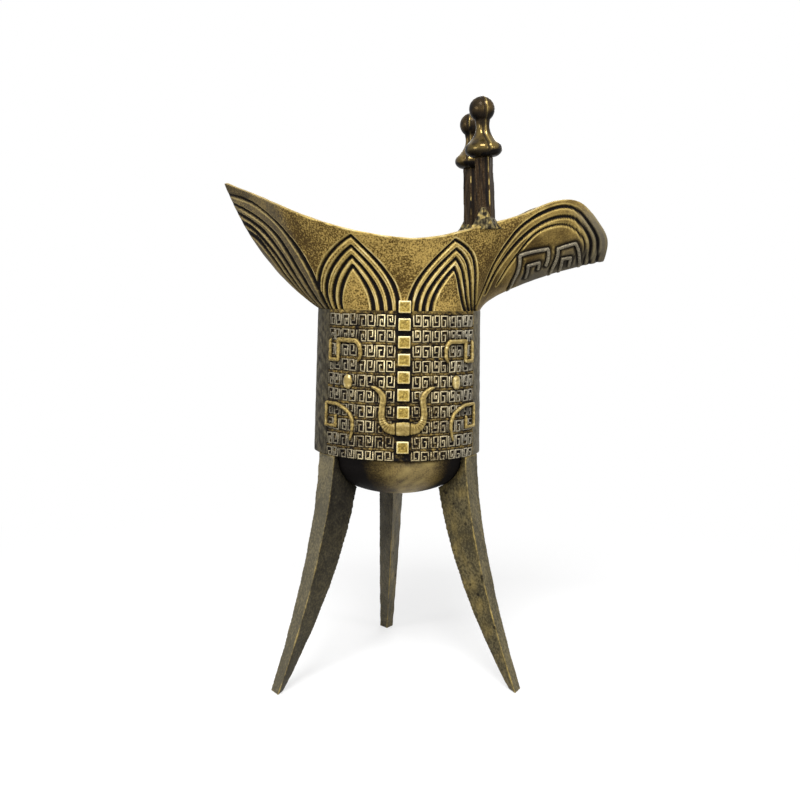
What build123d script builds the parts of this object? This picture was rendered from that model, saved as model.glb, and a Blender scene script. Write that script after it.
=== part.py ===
from build123d import *
import math
import os

# Sizes are in millimetres and angles in degrees.
# The table is z = 0 and the cup's axis is x = y = 0.
# The spout points to +X, the tail to -X, the mask faces -Y and the handle is on +Y.

# Cup and ornament band
LEG_HEIGHT = 80.3
BAND_HEIGHT = 49.2
BAND_TOP_RADIUS = 28.2
BAND_FLARE = 0.9
BAND_THICKNESS = 1.2
CUP_WALL = 2.0
DOME_DEPTH = 15.4
DOME_FLOOR = 2.4
SPIGOT_HEIGHT = 2.0
SPIGOT_CLEARANCE = 0.1

# Flared mouth, measured from the neck circle at the top of the band
MOUTH_WALL = 1.8
SPOUT_REACH = 43.5
LIP_RISE = 17.8
HORN_REACH = 26.8
HORN_RISE = 38.1
SPOUT_HALF_WIDTH = 11.4
ROOT_REACH = 0.3
ROOT_HALF_WIDTH = 19.2
ROOT_RISE = 29.0
RIM_FLARE = 5.6
RIM_RISE = 23.3
TAIL_REACH = 32.5
TAIL_RISE = 41.8

# Legs
LEG_SETBACK = 0.4
LEG_SPLAY = 19.4
LEG_CURVE = 1.55
LEG_TOP_WIDTH = 10.6
LEG_FOOT_WIDTH = 5.6
LEG_TOP_DEPTH = 13.8
LEG_FOOT_DEPTH = 3.6

# Posts and their caps
POST_SIDE = 4.8
POST_TURN = 27.0
POST_FRONT_LEAN = 3.8
POST_REAR_LEAN = 2.0
POST_HEIGHT = 21.9
POST_INSET = 1.9
POST_FOOT_SIDE = 9.0
POST_FOOT_TIP = 1.2
POST_FOOT_HEIGHT = 5.4
POST_FOOT_LAP = 1.8
TENON_RADIUS = 1.2
TENON_HEIGHT = 7.0
SOCKET_CLEARANCE = 0.08
BELL_LIP_RADIUS = 5.0
BELL_RADIUS = 6.3
BELL_LIP_HEIGHT = 1.7
CAP_NECK_RADIUS = 2.3
CAP_NECK_HEIGHT = 11.9
BALL_RADIUS = 4.3

# Handle
HANDLE_WIDTH = 8.0
HANDLE_THICKNESS = 3.2
HANDLE_REACH = 15.0
HANDLE_DROP = 32.0
HANDLE_TOP_MARGIN = 9.0
HANDLE_BEND = 9.0
HANDLE_EDGE = 1.2
MORTISE_CLEARANCE = 0.1

# Relief on the band
STUD_SIDE = 4.0
STUD_RELIEF = 1.2
STUD_COUNT = 9
STUD_GAP = 7
STUD_PITCH = 5.74
STUD_TOP_RISE = 1.4
STUD_CLEARANCE = 0.03
MASK_RELIEF = 1.1
EYE_WIDTH = 3.5
EYE_HEIGHT = 5.0
EYE_ANGLE = 38.4
EYE_RISE = 25.6

BAND_TOP_Z = LEG_HEIGHT + BAND_HEIGHT
BAND_BOTTOM_RADIUS = BAND_TOP_RADIUS + BAND_FLARE
CUP_RADIUS = BAND_TOP_RADIUS - BAND_THICKNESS
CUP_BORE = CUP_RADIUS - CUP_WALL
LEG_TOP_RADIUS = BAND_BOTTOM_RADIUS - LEG_SETBACK

# Neck angles of the spout's lip and of the posts, and the legs' angles round the cup
LIP_ANGLE = 20.0
ROOT_ANGLE = 58.0
LEG_ANGLES = {"leg_left": 210.0, "leg_right": 330.0, "leg_rear": 90.0}
LEG_STATIONS = 7

# Raised strokes of the mask: angle from the middle of the panel, rise above the band's lower
# edge, and width of the stroke there
MOUTH_STROKE = (
    (21.5, 24.2, 0.7), (18.2, 23.9, 1.3), (14.6, 22.4, 1.9), (13.0, 20.5, 2.1), (13.5, 17.8, 2.1),
    (13.9, 15.3, 2.2), (12.8, 12.8, 2.5), (9.6, 11.0, 3.2), (5.4, 10.7, 4.1), (0.0, 10.8, 4.5),
)
UPPER_HORN_STROKE = (
    (31.6, 32.1, 0.6), (29.6, 33.6, 1.0), (29.3, 35.5, 1.3), (30.4, 38.0, 1.5), (33.0, 39.2, 1.6),
    (47.3, 39.2, 1.6), (47.3, 32.6, 1.2), (55.6, 32.6, 1.4), (55.6, 39.7, 1.0),
)
LOWER_HORN_STROKE = (
    (36.2, 6.0, 0.5), (35.2, 7.2, 0.8), (33.9, 10.6, 1.1), (34.6, 13.3, 1.2), (37.6, 15.6, 1.2),
    (43.6, 17.2, 1.2), (48.0, 17.9, 1.2), (58.4, 17.9, 1.1), (58.4, 10.4, 1.0), (48.3, 10.4, 1.2),
    (48.3, 14.5, 0.9),
)


def rim_rows():
    """The rim from the lower lip of the spout to the tip of the tail, on one side.

    Each row has the angle on the neck circle, the rim point there (x, half width, rise above
    the neck), and the pull on the wall under it, as shares of its length from neck to rim.
    """
    neck = BAND_TOP_RADIUS
    lip = neck + SPOUT_REACH
    horn = neck + HORN_REACH
    root = neck + ROOT_REACH
    bowl = neck + RIM_FLARE
    tip = neck + TAIL_REACH
    spout = SPOUT_HALF_WIDTH
    lip_depth = lip - horn
    lip_height = HORN_RISE - LIP_RISE
    edge_length = horn - root
    edge_height = HORN_RISE - ROOT_RISE
    tail_height = TAIL_RISE - RIM_RISE
    return [
        (0, lip, 0, LIP_RISE, -0.435, 0, -0.083),
        (8, lip, 0.42 * spout, LIP_RISE + 0.18 * lip_height, -0.41, 0, -0.08),
        (14, lip - 0.05 * lip_depth, 0.68 * spout, LIP_RISE + 0.41 * lip_height, -0.38, 0.003, -0.085),
        (20, lip - 0.29 * lip_depth, 0.87 * spout, LIP_RISE + 0.68 * lip_height, -0.34, 0.012, -0.095),
        (25, horn + 0.4 * lip_depth, 0.965 * spout, LIP_RISE + 0.925 * lip_height, -0.31, 0.024, -0.11),
        (31, horn, spout, HORN_RISE, -0.28, 0.032, -0.13),
        (42, root + 0.57 * edge_length, spout + 0.25 * (ROOT_HALF_WIDTH - spout),
         ROOT_RISE + 0.54 * edge_height, -0.235, 0.04, -0.175),
        (ROOT_ANGLE, root, ROOT_HALF_WIDTH, ROOT_RISE, -0.145, 0.035, -0.267),
        (76, 0.4 * root, 0.87 * bowl, RIM_RISE + 0.17 * (ROOT_RISE - RIM_RISE), 0, -0.06, -0.345),
        (95, -0.04 * tip, bowl, RIM_RISE, 0, -0.135, -0.36),
        (115, -0.29 * tip, 0.994 * bowl, RIM_RISE + 0.115 * tail_height, 0.075, -0.17, -0.357),
        (135, -0.534 * tip, 0.822 * bowl, RIM_RISE + 0.345 * tail_height, 0.137, -0.137, -0.366),
        (152, -0.739 * tip, 0.538 * bowl, RIM_RISE + 0.628 * tail_height, 0.153, -0.089, -0.37),
        (167, -0.897 * tip, 0.237 * bowl, RIM_RISE + 0.862 * tail_height, 0.146, -0.038, -0.366),
        (180, -tip, 0, TAIL_RISE, 0.137, 0, -0.353),
    ]


def mirrored(row, about):
    """The same rim row on the other side of the symmetry plane."""
    angle, x, width, rise, pull_x, pull_y, pull_z = row
    return (2 * about - angle, x, -width, rise, pull_x, -pull_y, pull_z)


def full_rim():
    """Rim rows past both ends of one side, so that the curve runs smoothly through the plane."""
    rows = rim_rows()
    before = [mirrored(row, 0) for row in reversed(rows[1:])]
    after = [mirrored(row, 180) for row in reversed(rows[:-1])]
    return before + rows + after


def curvatures(knots, values):
    """Second derivatives of the smooth curve through values at the knots, free at its ends."""
    last = len(knots) - 1
    factor = [0.0] * (last + 1)
    bend = [0.0] * (last + 1)
    for i in range(1, last):
        left = knots[i] - knots[i - 1]
        right = knots[i + 1] - knots[i]
        jump = (values[i + 1] - values[i]) / right - (values[i] - values[i - 1]) / left
        pivot = 2 * (left + right) - left * factor[i - 1]
        factor[i] = right / pivot
        bend[i] = (6 * jump - left * bend[i - 1]) / pivot
    for i in range(last - 1, 0, -1):
        bend[i] -= factor[i] * bend[i + 1]
    return bend


RIM = full_rim()
RIM_ANGLES = [row[0] for row in RIM]
RIM_COLUMNS = [[row[k] for row in RIM] for k in range(1, 7)]
RIM_BENDS = [curvatures(RIM_ANGLES, column) for column in RIM_COLUMNS]


def rim_at(angle):
    """Rim point and wall pull at a neck angle, from the smooth curve through the rim rows."""
    i = 0
    while i < len(RIM_ANGLES) - 2 and angle > RIM_ANGLES[i + 1]:
        i += 1
    span = RIM_ANGLES[i + 1] - RIM_ANGLES[i]
    b = (angle - RIM_ANGLES[i]) / span
    a = 1 - b
    found = []
    for column, bend in zip(RIM_COLUMNS, RIM_BENDS):
        curve = (a**3 - a) * bend[i] + (b**3 - b) * bend[i + 1]
        found.append(a * column[i] + b * column[i + 1] + curve * span**2 / 6)
    return found


def mouth_ribs(angle):
    """Four guide points of the mouth's outer wall, from the neck circle up to the rim."""
    c = math.cos(math.radians(angle))
    s = math.sin(math.radians(angle))
    x, width, rise, pull_x, pull_y, pull_z = rim_at(angle)
    foot = Vector(BAND_TOP_RADIUS * c, BAND_TOP_RADIUS * s, 0)
    rim = Vector(x, width, rise)
    length = (rim - foot).length
    spout = max(0, c) ** 2
    tail = max(0, -c) ** 2
    side = s**2
    out = 0.034 * spout + 0.025 * side + 0.25 * tail
    up = 0.104 * spout + 0.338 * side + 0.165 * tail
    low = foot + Vector(out * c, out * s, up) * length
    high = rim + Vector(pull_x, pull_y, pull_z) * length
    return [foot, low, high, rim]


def slope(guide, angle):
    """Change per degree of a list of guide points."""
    turn = 0.01
    ahead = guide(angle + turn)
    behind = guide(angle - turn)
    return [(a - b) / (2 * turn) for a, b in zip(ahead, behind)]


def rim_thickness(angle):
    """From the rim's outer to its inner edge: square to the wall at the lip, else level."""
    outer = mouth_ribs(angle)
    along_rim = slope(mouth_ribs, angle)[3]
    inward = along_rim.cross(outer[2] - outer[3]).normalized()
    level = Vector(inward.X, inward.Y, 0)
    share = min(1, max(0, (angle - LIP_ANGLE) / (ROOT_ANGLE - LIP_ANGLE)))
    turn = share**2 * (3 - 2 * share)
    return (inward * (1 - turn) + level / level.length**2 * turn) * MOUTH_WALL


def mouth_bore_ribs(angle):
    """The guide points of the inner wall, in by the wall at the neck and at the rim."""
    outer = mouth_ribs(angle)
    at_rim = rim_thickness(angle)
    turn = math.radians(angle)
    at_neck = Vector(math.cos(turn), math.sin(turn), 0) * -MOUTH_WALL
    return [outer[0] + at_neck, outer[1] + at_neck, outer[2] + at_rim, outer[3] + at_rim]


def patch_net(guide, start, end):
    """Control points of one smooth wall patch between two neck angles, on the mask side."""
    third = (end - start) / 3
    first = guide(start)
    last = guide(end)
    after = [p + d * third for p, d in zip(first, slope(guide, start))]
    before = [p - d * third for p, d in zip(last, slope(guide, end))]
    net = []
    for row, angle in ((first, start), (after, None), (before, None), (last, end)):
        flat = angle in (0, 180)
        net.append([Vector(p.X, 0 if flat else -p.Y, p.Z + BAND_TOP_Z) for p in row])
    return net


def mouth():
    angles = [row[0] for row in rim_rows()]
    faces = []
    for start, end in zip(angles, angles[1:]):
        outside = patch_net(mouth_ribs, start, end)
        inside = patch_net(mouth_bore_ribs, start, end)
        rim = [[a[3], b[3]] for a, b in zip(outside, inside)]
        seat = [[a[0], b[0]] for a, b in zip(outside, inside)]
        for net in (outside, inside, rim, seat):
            face = Face.make_bezier_surface(net)
            faces += [face, face.mirror(Plane.XZ)]
    return Solid(Shell(faces))


def turned(outline):
    """A solid of revolution about the cup's axis from closed lines in radius and height."""
    return revolve(Plane.XZ * make_face(outline), Axis.Z)


def cup_core():
    """The outside of the cup as a filled solid, for seating the legs and the handle."""
    top = BAND_TOP_Z
    outline = EllipticalCenterArc((0, LEG_HEIGHT), CUP_RADIUS, DOME_DEPTH, start_angle=-90, arc_size=90)
    outline += Polyline((CUP_RADIUS, LEG_HEIGHT), (CUP_RADIUS, top), (0, top), (0, LEG_HEIGHT - DOME_DEPTH))
    return turned(outline)


def cup():
    """Cup wall with its domed bottom, and the spigot that the mouth's neck fits over."""
    spigot_radius = BAND_TOP_RADIUS - MOUTH_WALL - SPIGOT_CLEARANCE
    spigot_top = BAND_TOP_Z + SPIGOT_HEIGHT
    depth = DOME_DEPTH - DOME_FLOOR
    hollow = EllipticalCenterArc((0, LEG_HEIGHT), CUP_BORE, depth, start_angle=-90, arc_size=90)
    hollow += Polyline(
        (CUP_BORE, LEG_HEIGHT), (CUP_BORE, spigot_top), (0, spigot_top), (0, LEG_HEIGHT - depth)
    )
    spigot = Pos(0, 0, BAND_TOP_Z) * Cylinder(
        spigot_radius, SPIGOT_HEIGHT, align=(Align.CENTER, Align.CENTER, Align.MIN)
    )
    return cup_core() + spigot - turned(hollow)


def band_radius(z):
    """Outer radius of the band at a height."""
    return BAND_BOTTOM_RADIUS - BAND_FLARE * (z - LEG_HEIGHT) / BAND_HEIGHT


def band_ring(inner_at_bottom, inner_at_top, proud):
    """A ring as high as the band, from the given inner radii to the band's face plus proud."""
    return turned(Polyline(
        (inner_at_bottom, LEG_HEIGHT), (BAND_BOTTOM_RADIUS + proud, LEG_HEIGHT),
        (BAND_TOP_RADIUS + proud, BAND_TOP_Z), (inner_at_top, BAND_TOP_Z), close=True,
    ))


def handle_levels():
    """Heights of the handle's upper and lower arms."""
    upper = BAND_TOP_Z - HANDLE_TOP_MARGIN
    return upper, upper - HANDLE_DROP


def ornament_band():
    """The sleeve round the cup, with two mortises at the back for the handle's arms."""
    band = band_ring(CUP_RADIUS, CUP_RADIUS, 0)
    gap = 2 * MORTISE_CLEARANCE
    for level in handle_levels():
        mortise = Box(HANDLE_WIDTH + gap, 2 * BAND_BOTTOM_RADIUS, HANDLE_THICKNESS + gap)
        band -= Pos(0, BAND_BOTTOM_RADIUS, level) * mortise
    return band


def handle():
    """The strap handle, whose arms go through the band and seat on the cup wall."""
    upper, lower = handle_levels()
    outer = BAND_BOTTOM_RADIUS + HANDLE_REACH + HANDLE_THICKNESS / 2
    start = CUP_BORE
    points = [(0, start, upper), (0, outer, upper), (0, outer, lower), (0, start, lower)]
    path = FilletPolyline(*points, radius=HANDLE_BEND)
    section = Plane((0, start, upper), x_dir=(1, 0, 0), z_dir=(0, 1, 0)) * RectangleRounded(
        HANDLE_WIDTH, HANDLE_THICKNESS, HANDLE_EDGE
    )
    return sweep(section, path) - cup_core()


def leg(angle):
    """A blade leg of triangular section, cut to the dome and seated under the band's edge."""
    sections = []
    for i in range(LEG_STATIONS):
        drop = i / (LEG_STATIONS - 1)
        radius = LEG_TOP_RADIUS + LEG_SPLAY * drop**LEG_CURVE
        half = (LEG_TOP_WIDTH + (LEG_FOOT_WIDTH - LEG_TOP_WIDTH) * drop) / 2
        depth = LEG_TOP_DEPTH + (LEG_FOOT_DEPTH - LEG_TOP_DEPTH) * drop**2
        outline = Polyline((radius, -half), (radius, half), (radius - depth, 0), close=True)
        sections.append(Pos(0, 0, LEG_HEIGHT * (1 - drop)) * make_face(outline))
    return Rot(0, 0, angle) * loft(sections) - cup_core()


def post_place(side):
    """Where a post stands: on the rim at the root of the spout, turned and leaning a little."""
    outer = mouth_ribs(ROOT_ANGLE)[3]
    inner = mouth_bore_ribs(ROOT_ANGLE)[3]
    seat = outer + (inner - outer).normalized() * POST_INSET
    lean = POST_REAR_LEAN if side > 0 else POST_FRONT_LEAN
    return Pos(seat.X, side * seat.Y, BAND_TOP_Z + outer.Z) * Rot(0, -lean, 0) * Rot(0, 0, side * POST_TURN)


def post(side, rim):
    """A square post with a pointed foot that saddles the rim, and a tenon for its cap."""
    bottom = (Align.CENTER, Align.CENTER, Align.MIN)
    shaft = Pos(0, 0, -POST_FOOT_LAP) * Box(POST_SIDE, POST_SIDE, POST_HEIGHT + POST_FOOT_LAP, align=bottom)
    tenon = Pos(0, 0, POST_HEIGHT) * Cylinder(TENON_RADIUS, TENON_HEIGHT, align=bottom)
    base = Pos(0, 0, -POST_FOOT_LAP) * Rectangle(POST_FOOT_SIDE, POST_FOOT_SIDE)
    tip = Pos(0, side * POST_SIDE / 2, POST_FOOT_HEIGHT) * Rectangle(POST_FOOT_TIP, POST_FOOT_TIP)
    foot = loft([base, tip], ruled=True)
    cut = post_place(side) * (shaft + tenon + foot) - rim
    return cut.solids().sort_by(SortBy.VOLUME)[-1]


def cap(side):
    """A bell-shaped cap with a ball on top, socketed for the post's tenon."""
    ball_centre = CAP_NECK_HEIGHT + math.sqrt(BALL_RADIUS**2 - CAP_NECK_RADIUS**2)
    neck_turn = math.degrees(math.acos(CAP_NECK_RADIUS / BALL_RADIUS))
    waist = CAP_NECK_HEIGHT / 2
    outline = Polyline((0, 0), (BELL_LIP_RADIUS, 0), (BELL_RADIUS, BELL_LIP_HEIGHT))
    outline += Bezier(
        (BELL_RADIUS, BELL_LIP_HEIGHT), (BELL_RADIUS, waist),
        (CAP_NECK_RADIUS, waist), (CAP_NECK_RADIUS, CAP_NECK_HEIGHT),
    )
    outline += CenterArc((0, ball_centre), BALL_RADIUS, -neck_turn, 90 + neck_turn)
    outline += Line((0, ball_centre + BALL_RADIUS), (0, 0))
    socket = Cylinder(
        TENON_RADIUS + SOCKET_CLEARANCE, TENON_HEIGHT + SOCKET_CLEARANCE,
        align=(Align.CENTER, Align.CENTER, Align.MIN),
    )
    return post_place(side) * Pos(0, 0, POST_HEIGHT) * (turned(outline) - socket)


def mask_seat():
    """The band and the mouth above it as one filled solid, turned from the mask's middle line."""
    wall = [(p.Y + STUD_CLEARANCE, BAND_TOP_Z + p.Z) for p in mouth_ribs(90)]
    outline = Polyline((0, LEG_HEIGHT), (BAND_BOTTOM_RADIUS + STUD_CLEARANCE, LEG_HEIGHT), wall[0])
    outline += Bezier(*wall)
    outline += Polyline(wall[-1], (0, wall[-1][1]), (0, LEG_HEIGHT))
    return turned(outline)


def stud_column():
    """Square studs down the middle of the mask, apart from the place that the mouth takes."""
    seat = mask_seat()
    studs = []
    for i in range(STUD_COUNT):
        if i == STUD_GAP:
            continue
        z = BAND_TOP_Z + STUD_TOP_RISE - i * STUD_PITCH
        radius = band_radius(min(z, BAND_TOP_Z))
        depth = 2 * STUD_RELIEF
        stud = Pos(0, -radius, z) * Box(STUD_SIDE, depth, STUD_SIDE)
        studs.append((stud - seat).solids().sort_by(Axis.Y)[0])
    return Compound(studs)


def relief(outline, middle):
    """A raised piece on the band from an outline in angle and rise, facing the middle angle."""
    radius = BAND_BOTTOM_RADIUS
    flat = [(radius * math.sin(math.radians(turn - middle)), rise) for turn, rise in outline]
    face = make_face(Polyline(*flat, close=True))
    facing = Rot(0, 0, middle) * Plane((0, 0, LEG_HEIGHT), x_dir=(1, 0, 0), z_dir=(0, -1, 0)).location
    block = extrude(facing * face, 2 * radius)
    return block & band_ring(BAND_BOTTOM_RADIUS, BAND_TOP_RADIUS, MASK_RELIEF)


def stroke_outline(stroke):
    """Both edges of a stroke of changing width, mitred at its corners."""
    per_degree = math.radians(BAND_TOP_RADIUS)
    centre = [Vector(turn * per_degree, rise) for turn, rise, width in stroke]
    left = []
    right = []
    for i, point in enumerate(centre):
        before = (point - centre[i - 1]).normalized() if i > 0 else None
        after = (centre[i + 1] - point).normalized() if i < len(centre) - 1 else None
        before = before or after
        after = after or before
        ahead = (before + after).normalized()
        square = Vector(-ahead.Y, ahead.X)
        reach = stroke[i][2] / 2 / ahead.dot(after)
        left.append(point + square * reach)
        right.append(point - square * reach)
    return [(p.X / per_degree, p.Y) for p in left + right[::-1]]


def pair(outline, middle):
    """A relief piece and its mirror image on the other half of the mask."""
    piece = relief(outline, middle)
    return Compound([piece, piece.mirror(Plane.YZ)])


def mask_mouth():
    other_half = [(-turn, rise, width) for turn, rise, width in reversed(MOUTH_STROKE[:-1])]
    return relief(stroke_outline(list(MOUTH_STROKE) + other_half), 0)


def mask_eyes():
    per_degree = math.radians(BAND_TOP_RADIUS)
    sides = 24
    outline = []
    for i in range(sides):
        turn = 2 * math.pi * i / sides
        across = EYE_WIDTH / 2 * math.cos(turn) / per_degree
        outline.append((EYE_ANGLE + across, EYE_RISE + EYE_HEIGHT / 2 * math.sin(turn)))
    return pair(outline, EYE_ANGLE)


def horns(stroke):
    middle = sum(turn for turn, rise, width in stroke) / len(stroke)
    return pair(stroke_outline(stroke), middle)


def main():
    rim = mouth()
    nodes = {
        "mouth": rim,
        "cup": cup(),
        "ornament_band": ornament_band(),
        "handle": handle(),
        "post_front": post(-1, rim),
        "post_rear": post(1, rim),
        "cap_front": cap(-1),
        "cap_rear": cap(1),
        "stud_column": stud_column(),
        "mask_mouth": mask_mouth(),
        "mask_eyes": mask_eyes(),
        "mask_upper_horns": horns(UPPER_HORN_STROKE),
        "mask_lower_horns": horns(LOWER_HORN_STROKE),
    }
    for name, angle in LEG_ANGLES.items():
        nodes[name] = leg(angle)
    for name in ("eyes", "upper_horns", "lower_horns"):
        nodes["rear_" + name] = nodes["mask_" + name].mirror(Plane.XZ)
    os.makedirs("parts", exist_ok=True)
    for name, shape in nodes.items():
        export_step(shape, f"parts/{name}.step")


main()
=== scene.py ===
import math

import bmesh
import bpy
import numpy as np
from bpy.props import FloatProperty, FloatVectorProperty, IntProperty, PointerProperty
from mathutils import Matrix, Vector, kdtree


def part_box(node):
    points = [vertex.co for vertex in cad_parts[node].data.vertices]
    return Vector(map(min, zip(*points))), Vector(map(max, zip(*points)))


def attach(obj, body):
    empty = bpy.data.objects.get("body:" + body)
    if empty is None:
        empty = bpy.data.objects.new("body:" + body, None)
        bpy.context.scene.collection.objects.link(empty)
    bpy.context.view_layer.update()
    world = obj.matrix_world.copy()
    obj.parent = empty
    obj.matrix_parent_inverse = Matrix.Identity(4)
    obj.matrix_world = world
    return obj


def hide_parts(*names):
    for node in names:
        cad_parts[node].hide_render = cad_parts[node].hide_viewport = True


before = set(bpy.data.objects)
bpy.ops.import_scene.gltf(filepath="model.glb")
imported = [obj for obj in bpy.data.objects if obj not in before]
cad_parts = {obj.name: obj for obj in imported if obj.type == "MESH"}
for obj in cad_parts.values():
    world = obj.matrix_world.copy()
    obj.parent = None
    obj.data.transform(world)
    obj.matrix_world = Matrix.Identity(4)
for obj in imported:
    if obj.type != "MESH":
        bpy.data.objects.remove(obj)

bl_info = {
    "name": "Bronze jue vessel",
    "version": (1, 0, 0),
    "blender": (4, 5, 0),
    "location": "View3D > Sidebar > Jue",
    "description": "Builds the cast, carved and rubbed looks of a bronze jue vessel on its solids",
    "category": "Object",
}

MM = 0.001

# Bearings of the two mask panels, in degrees from the spout
FRONT = -90
BACK = 90

# Band, read from its solid, with how far its plain strips stand proud
BAND_LOW, BAND_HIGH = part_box("ornament_band")
BAND_FOOT = BAND_LOW.z
NECK = BAND_HIGH.z
BAND_FOOT_RADIUS = BAND_HIGH.x
BAND_FLARE = 0.9 * MM
NECK_RADIUS = BAND_FOOT_RADIUS - BAND_FLARE
BAND_BORE = NECK_RADIUS - 1.15 * MM
BAND_PROUD = 0.1 * MM
BAND_COLUMNS = 540
BAND_ROWS = 180

# Mouth, measured from the neck
MOUTH_WALL = 1.8 * MM
LIP = NECK_RADIUS + 43.5 * MM
HORN = NECK_RADIUS + 26.8 * MM
ROOT = NECK_RADIUS + 0.3 * MM
BOWL = NECK_RADIUS + 5.6 * MM
TIP = NECK_RADIUS + 32.5 * MM
SPOUT_HALF_WIDTH = 11.4 * MM
ROOT_HALF_WIDTH = 19.2 * MM
LIP_RISE = 17.8 * MM
HORN_RISE = 38.1 * MM
ROOT_RISE = 29.0 * MM
RIM_RISE = 23.3 * MM
TAIL_RISE = 41.8 * MM
LIP_ANGLE = 20
ROOT_ANGLE = 58

# Pull of the wall's lower guide at the spout, the sides and the tail, outward and upward
GUIDE_OUT = (0.034, 0.025, 0.25)
GUIDE_UP = (0.104, 0.338, 0.165)

# Rounded crown between the outer and inner edge of the rim, and the rows of the inside
CROWN_STEPS = (0.15, 0.5, 0.85)
CROWN_RISE = 0.3 * MM
BORE_ROWS = 15

# Carved leaves: apex of the outermost and innermost line as (neck angle, share of the way to the rim), neck
# angles of their tail-side feet and of their spout-side feet, and how strongly each side bends
LEAF_LINES = 4
TAIL_LEAF = ((116, 0.93), (119, 0.57), (152, 136), (94, 111), (1.45, 1.9))
SPOUT_LEAF = ((70, 0.91), (65, 0.53), (87, 72), (26, 41), (2.1, 0.9))

# Carved lines round the spout and under the tail, as neck angles and shares of the way to the rim
SPOUT_OUTER = (
    (27, 0.03), (30, 0.25), (34, 0.42), (36, 0.62), (35.5, 0.75), (31, 0.85), (25, 0.935), (13, 0.945),
    (0, 0.965),
)
SPOUT_MIDDLE = (
    (24, 0.2), (28, 0.35), (29, 0.48), (29, 0.6), (27, 0.75), (24, 0.86), (20, 0.9), (10, 0.905), (0, 0.92),
)
SPOUT_PANEL = (
    (20, 0.3), (23, 0.41), (24.5, 0.53), (25.5, 0.65), (24, 0.76), (21.5, 0.835), (17, 0.865), (9, 0.875),
    (0, 0.885),
)
TAIL_LINES = (
    (
        (180, 0.935), (167, 0.938), (159, 0.91), (152, 0.83),
        (147.5, 0.68), (146, 0.5), (147, 0.27), (151, 0),
    ),
    (
        (180, 0.885), (171, 0.86), (163, 0.815), (157, 0.73),
        (154.5, 0.57), (154.5, 0.36), (156, 0.18), (159, 0),
    ),
    (
        (180, 0.83), (171, 0.79), (165, 0.73), (161.5, 0.63),
        (160, 0.5), (160.5, 0.32), (162.5, 0.15), (165, 0),
    ),
    (
        (180, 0.77), (172, 0.73), (168, 0.66), (165.5, 0.55),
        (165, 0.42), (166.5, 0.25), (169, 0.1), (171, 0),
    ),
    (
        (180, 0.7), (174, 0.67), (171, 0.61), (169.5, 0.5),
        (170, 0.37), (172, 0.2), (174, 0.08), (175, 0),
    ),
)

# Half widths of the carved lines as shares of the groove's width: a leaf's at its apex and what its foot
# adds, the three lines of the spout, the tail's at the rim and what its foot adds
LEAF_HALF = 0.32
LEAF_FOOT = 0.26
SPOUT_HALVES = (0.42, 0.42, 0.26)
TAIL_HALF = 0.4
TAIL_FOOT = 0.4

# Share of a groove's depth that is left on the spout's keel, and that is lost on the tail's edge
KEEL_DEPTH = 0.3
TAIL_EDGE_LOSS = 0.92

# Where the grooves and the panel fade out towards the keel, and the grooves towards the tail's edge, as neck
# angles, where the tail's grooves widen, and the edge of the panel and of the ground beside its hooks
KEEL_GROOVES = (1, 9)
KEEL_PANEL = (0, 7)
TAIL_EDGE = (168, 179)
TAIL_WIDENS = (0.9, 0.65)
PANEL_EDGE = (0, 0.5 * MM)
BESIDE_HOOKS = (0.8 * MM, 2.2 * MM)

# Raised key-fret hooks on the spout, how dark, rubbed and grey they are, and their section as shares of
# the width and rises in millimetres
HOOKS = (
    ((0, 0.39), (12, 0.42), (23, 0.52), (18, 0.67), (10, 0.64)),
    ((8, 0.51), (16, 0.53), (14, 0.6), (10, 0.59)),
    ((0, 0.68), (7, 0.69), (16, 0.72), (15, 0.82), (6, 0.85), (0, 0.86)),
    ((0, 0.74), (10, 0.74), (9, 0.79), (4, 0.79)),
)
HOOK_DARK = 0.15
HOOK_RUB = 0.12
HOOK_GREY = 0.4
HOOK_SECTION = ((0.5, -0.8), (0.4, 0.1), (0.22, 0.2), (-0.22, 0.2), (-0.4, 0.1), (-0.5, -0.8))

# Squared spiral ground of the band: rows, units across half a panel, how unevenly they were cut, the
# fewest corners of one, its narrower top, and how near they come to the band's foot
FRET_ROWS = 10
FRET_FIRST = 3.2 * MM
FRET_PITCH = 4.98 * MM
FRET_UNITS = 8
FRET_START = 5.2
FRET_END = 58.5
FRET_HEIGHT = 3.9 * MM
FRET_GAP = 0.38 * MM
FRET_ROOT = 0.25 * MM
FRET_SEED = 17
FRET_WOBBLE = 0.05 * MM
FRET_SHIFT = 0.07 * MM
FRET_TURN = 0.12
FRET_LEAST = 7
FRET_WIDTHS = (0.85, 1.15)
FRET_RELIEFS = (0.85, 1.1)
FRET_SHINES = (0.2, 0.6)
FRET_TOP = 0.36
FRET_FOOT = 0.3 * MM
SPIRAL = ((0, 1), (0, 0), (1, 0), (1, 1), (0.36, 1), (0.36, 0.4), (0.68, 0.4), (0.68, 0.68))

# Raised strokes of the mask: their relief and root, the rails and fullness of their rounded section, then
# angle from the middle of the panel, rise above the band's lower edge and width in millimetres, first along
# the bent run and then along the square one
MASK_RELIEF = 1.1 * MM
MASK_ROOT = 0.6 * MM
RIDGE_RAILS = 13
RIDGE_FULLNESS = 0.7
MOUTH_BENT = (
    (21.5, 24.2, 0.7), (18.2, 23.9, 1.3), (14.6, 22.4, 1.9), (13.0, 20.5, 2.1), (13.5, 17.8, 2.1),
    (13.9, 15.3, 2.2), (12.8, 12.8, 2.5), (9.6, 11.0, 3.2), (5.4, 10.7, 4.1), (0.0, 10.8, 4.5),
)
UPPER_HORN_BENT = (
    (31.6, 32.1, 0.6), (29.6, 33.6, 1.0), (29.3, 35.5, 1.3), (30.4, 38.0, 1.5), (33.0, 39.2, 1.6),
)
UPPER_HORN_SQUARE = ((47.3, 39.2, 1.6), (47.3, 32.6, 1.2), (55.6, 32.6, 1.4), (55.6, 39.7, 1.0))
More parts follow.
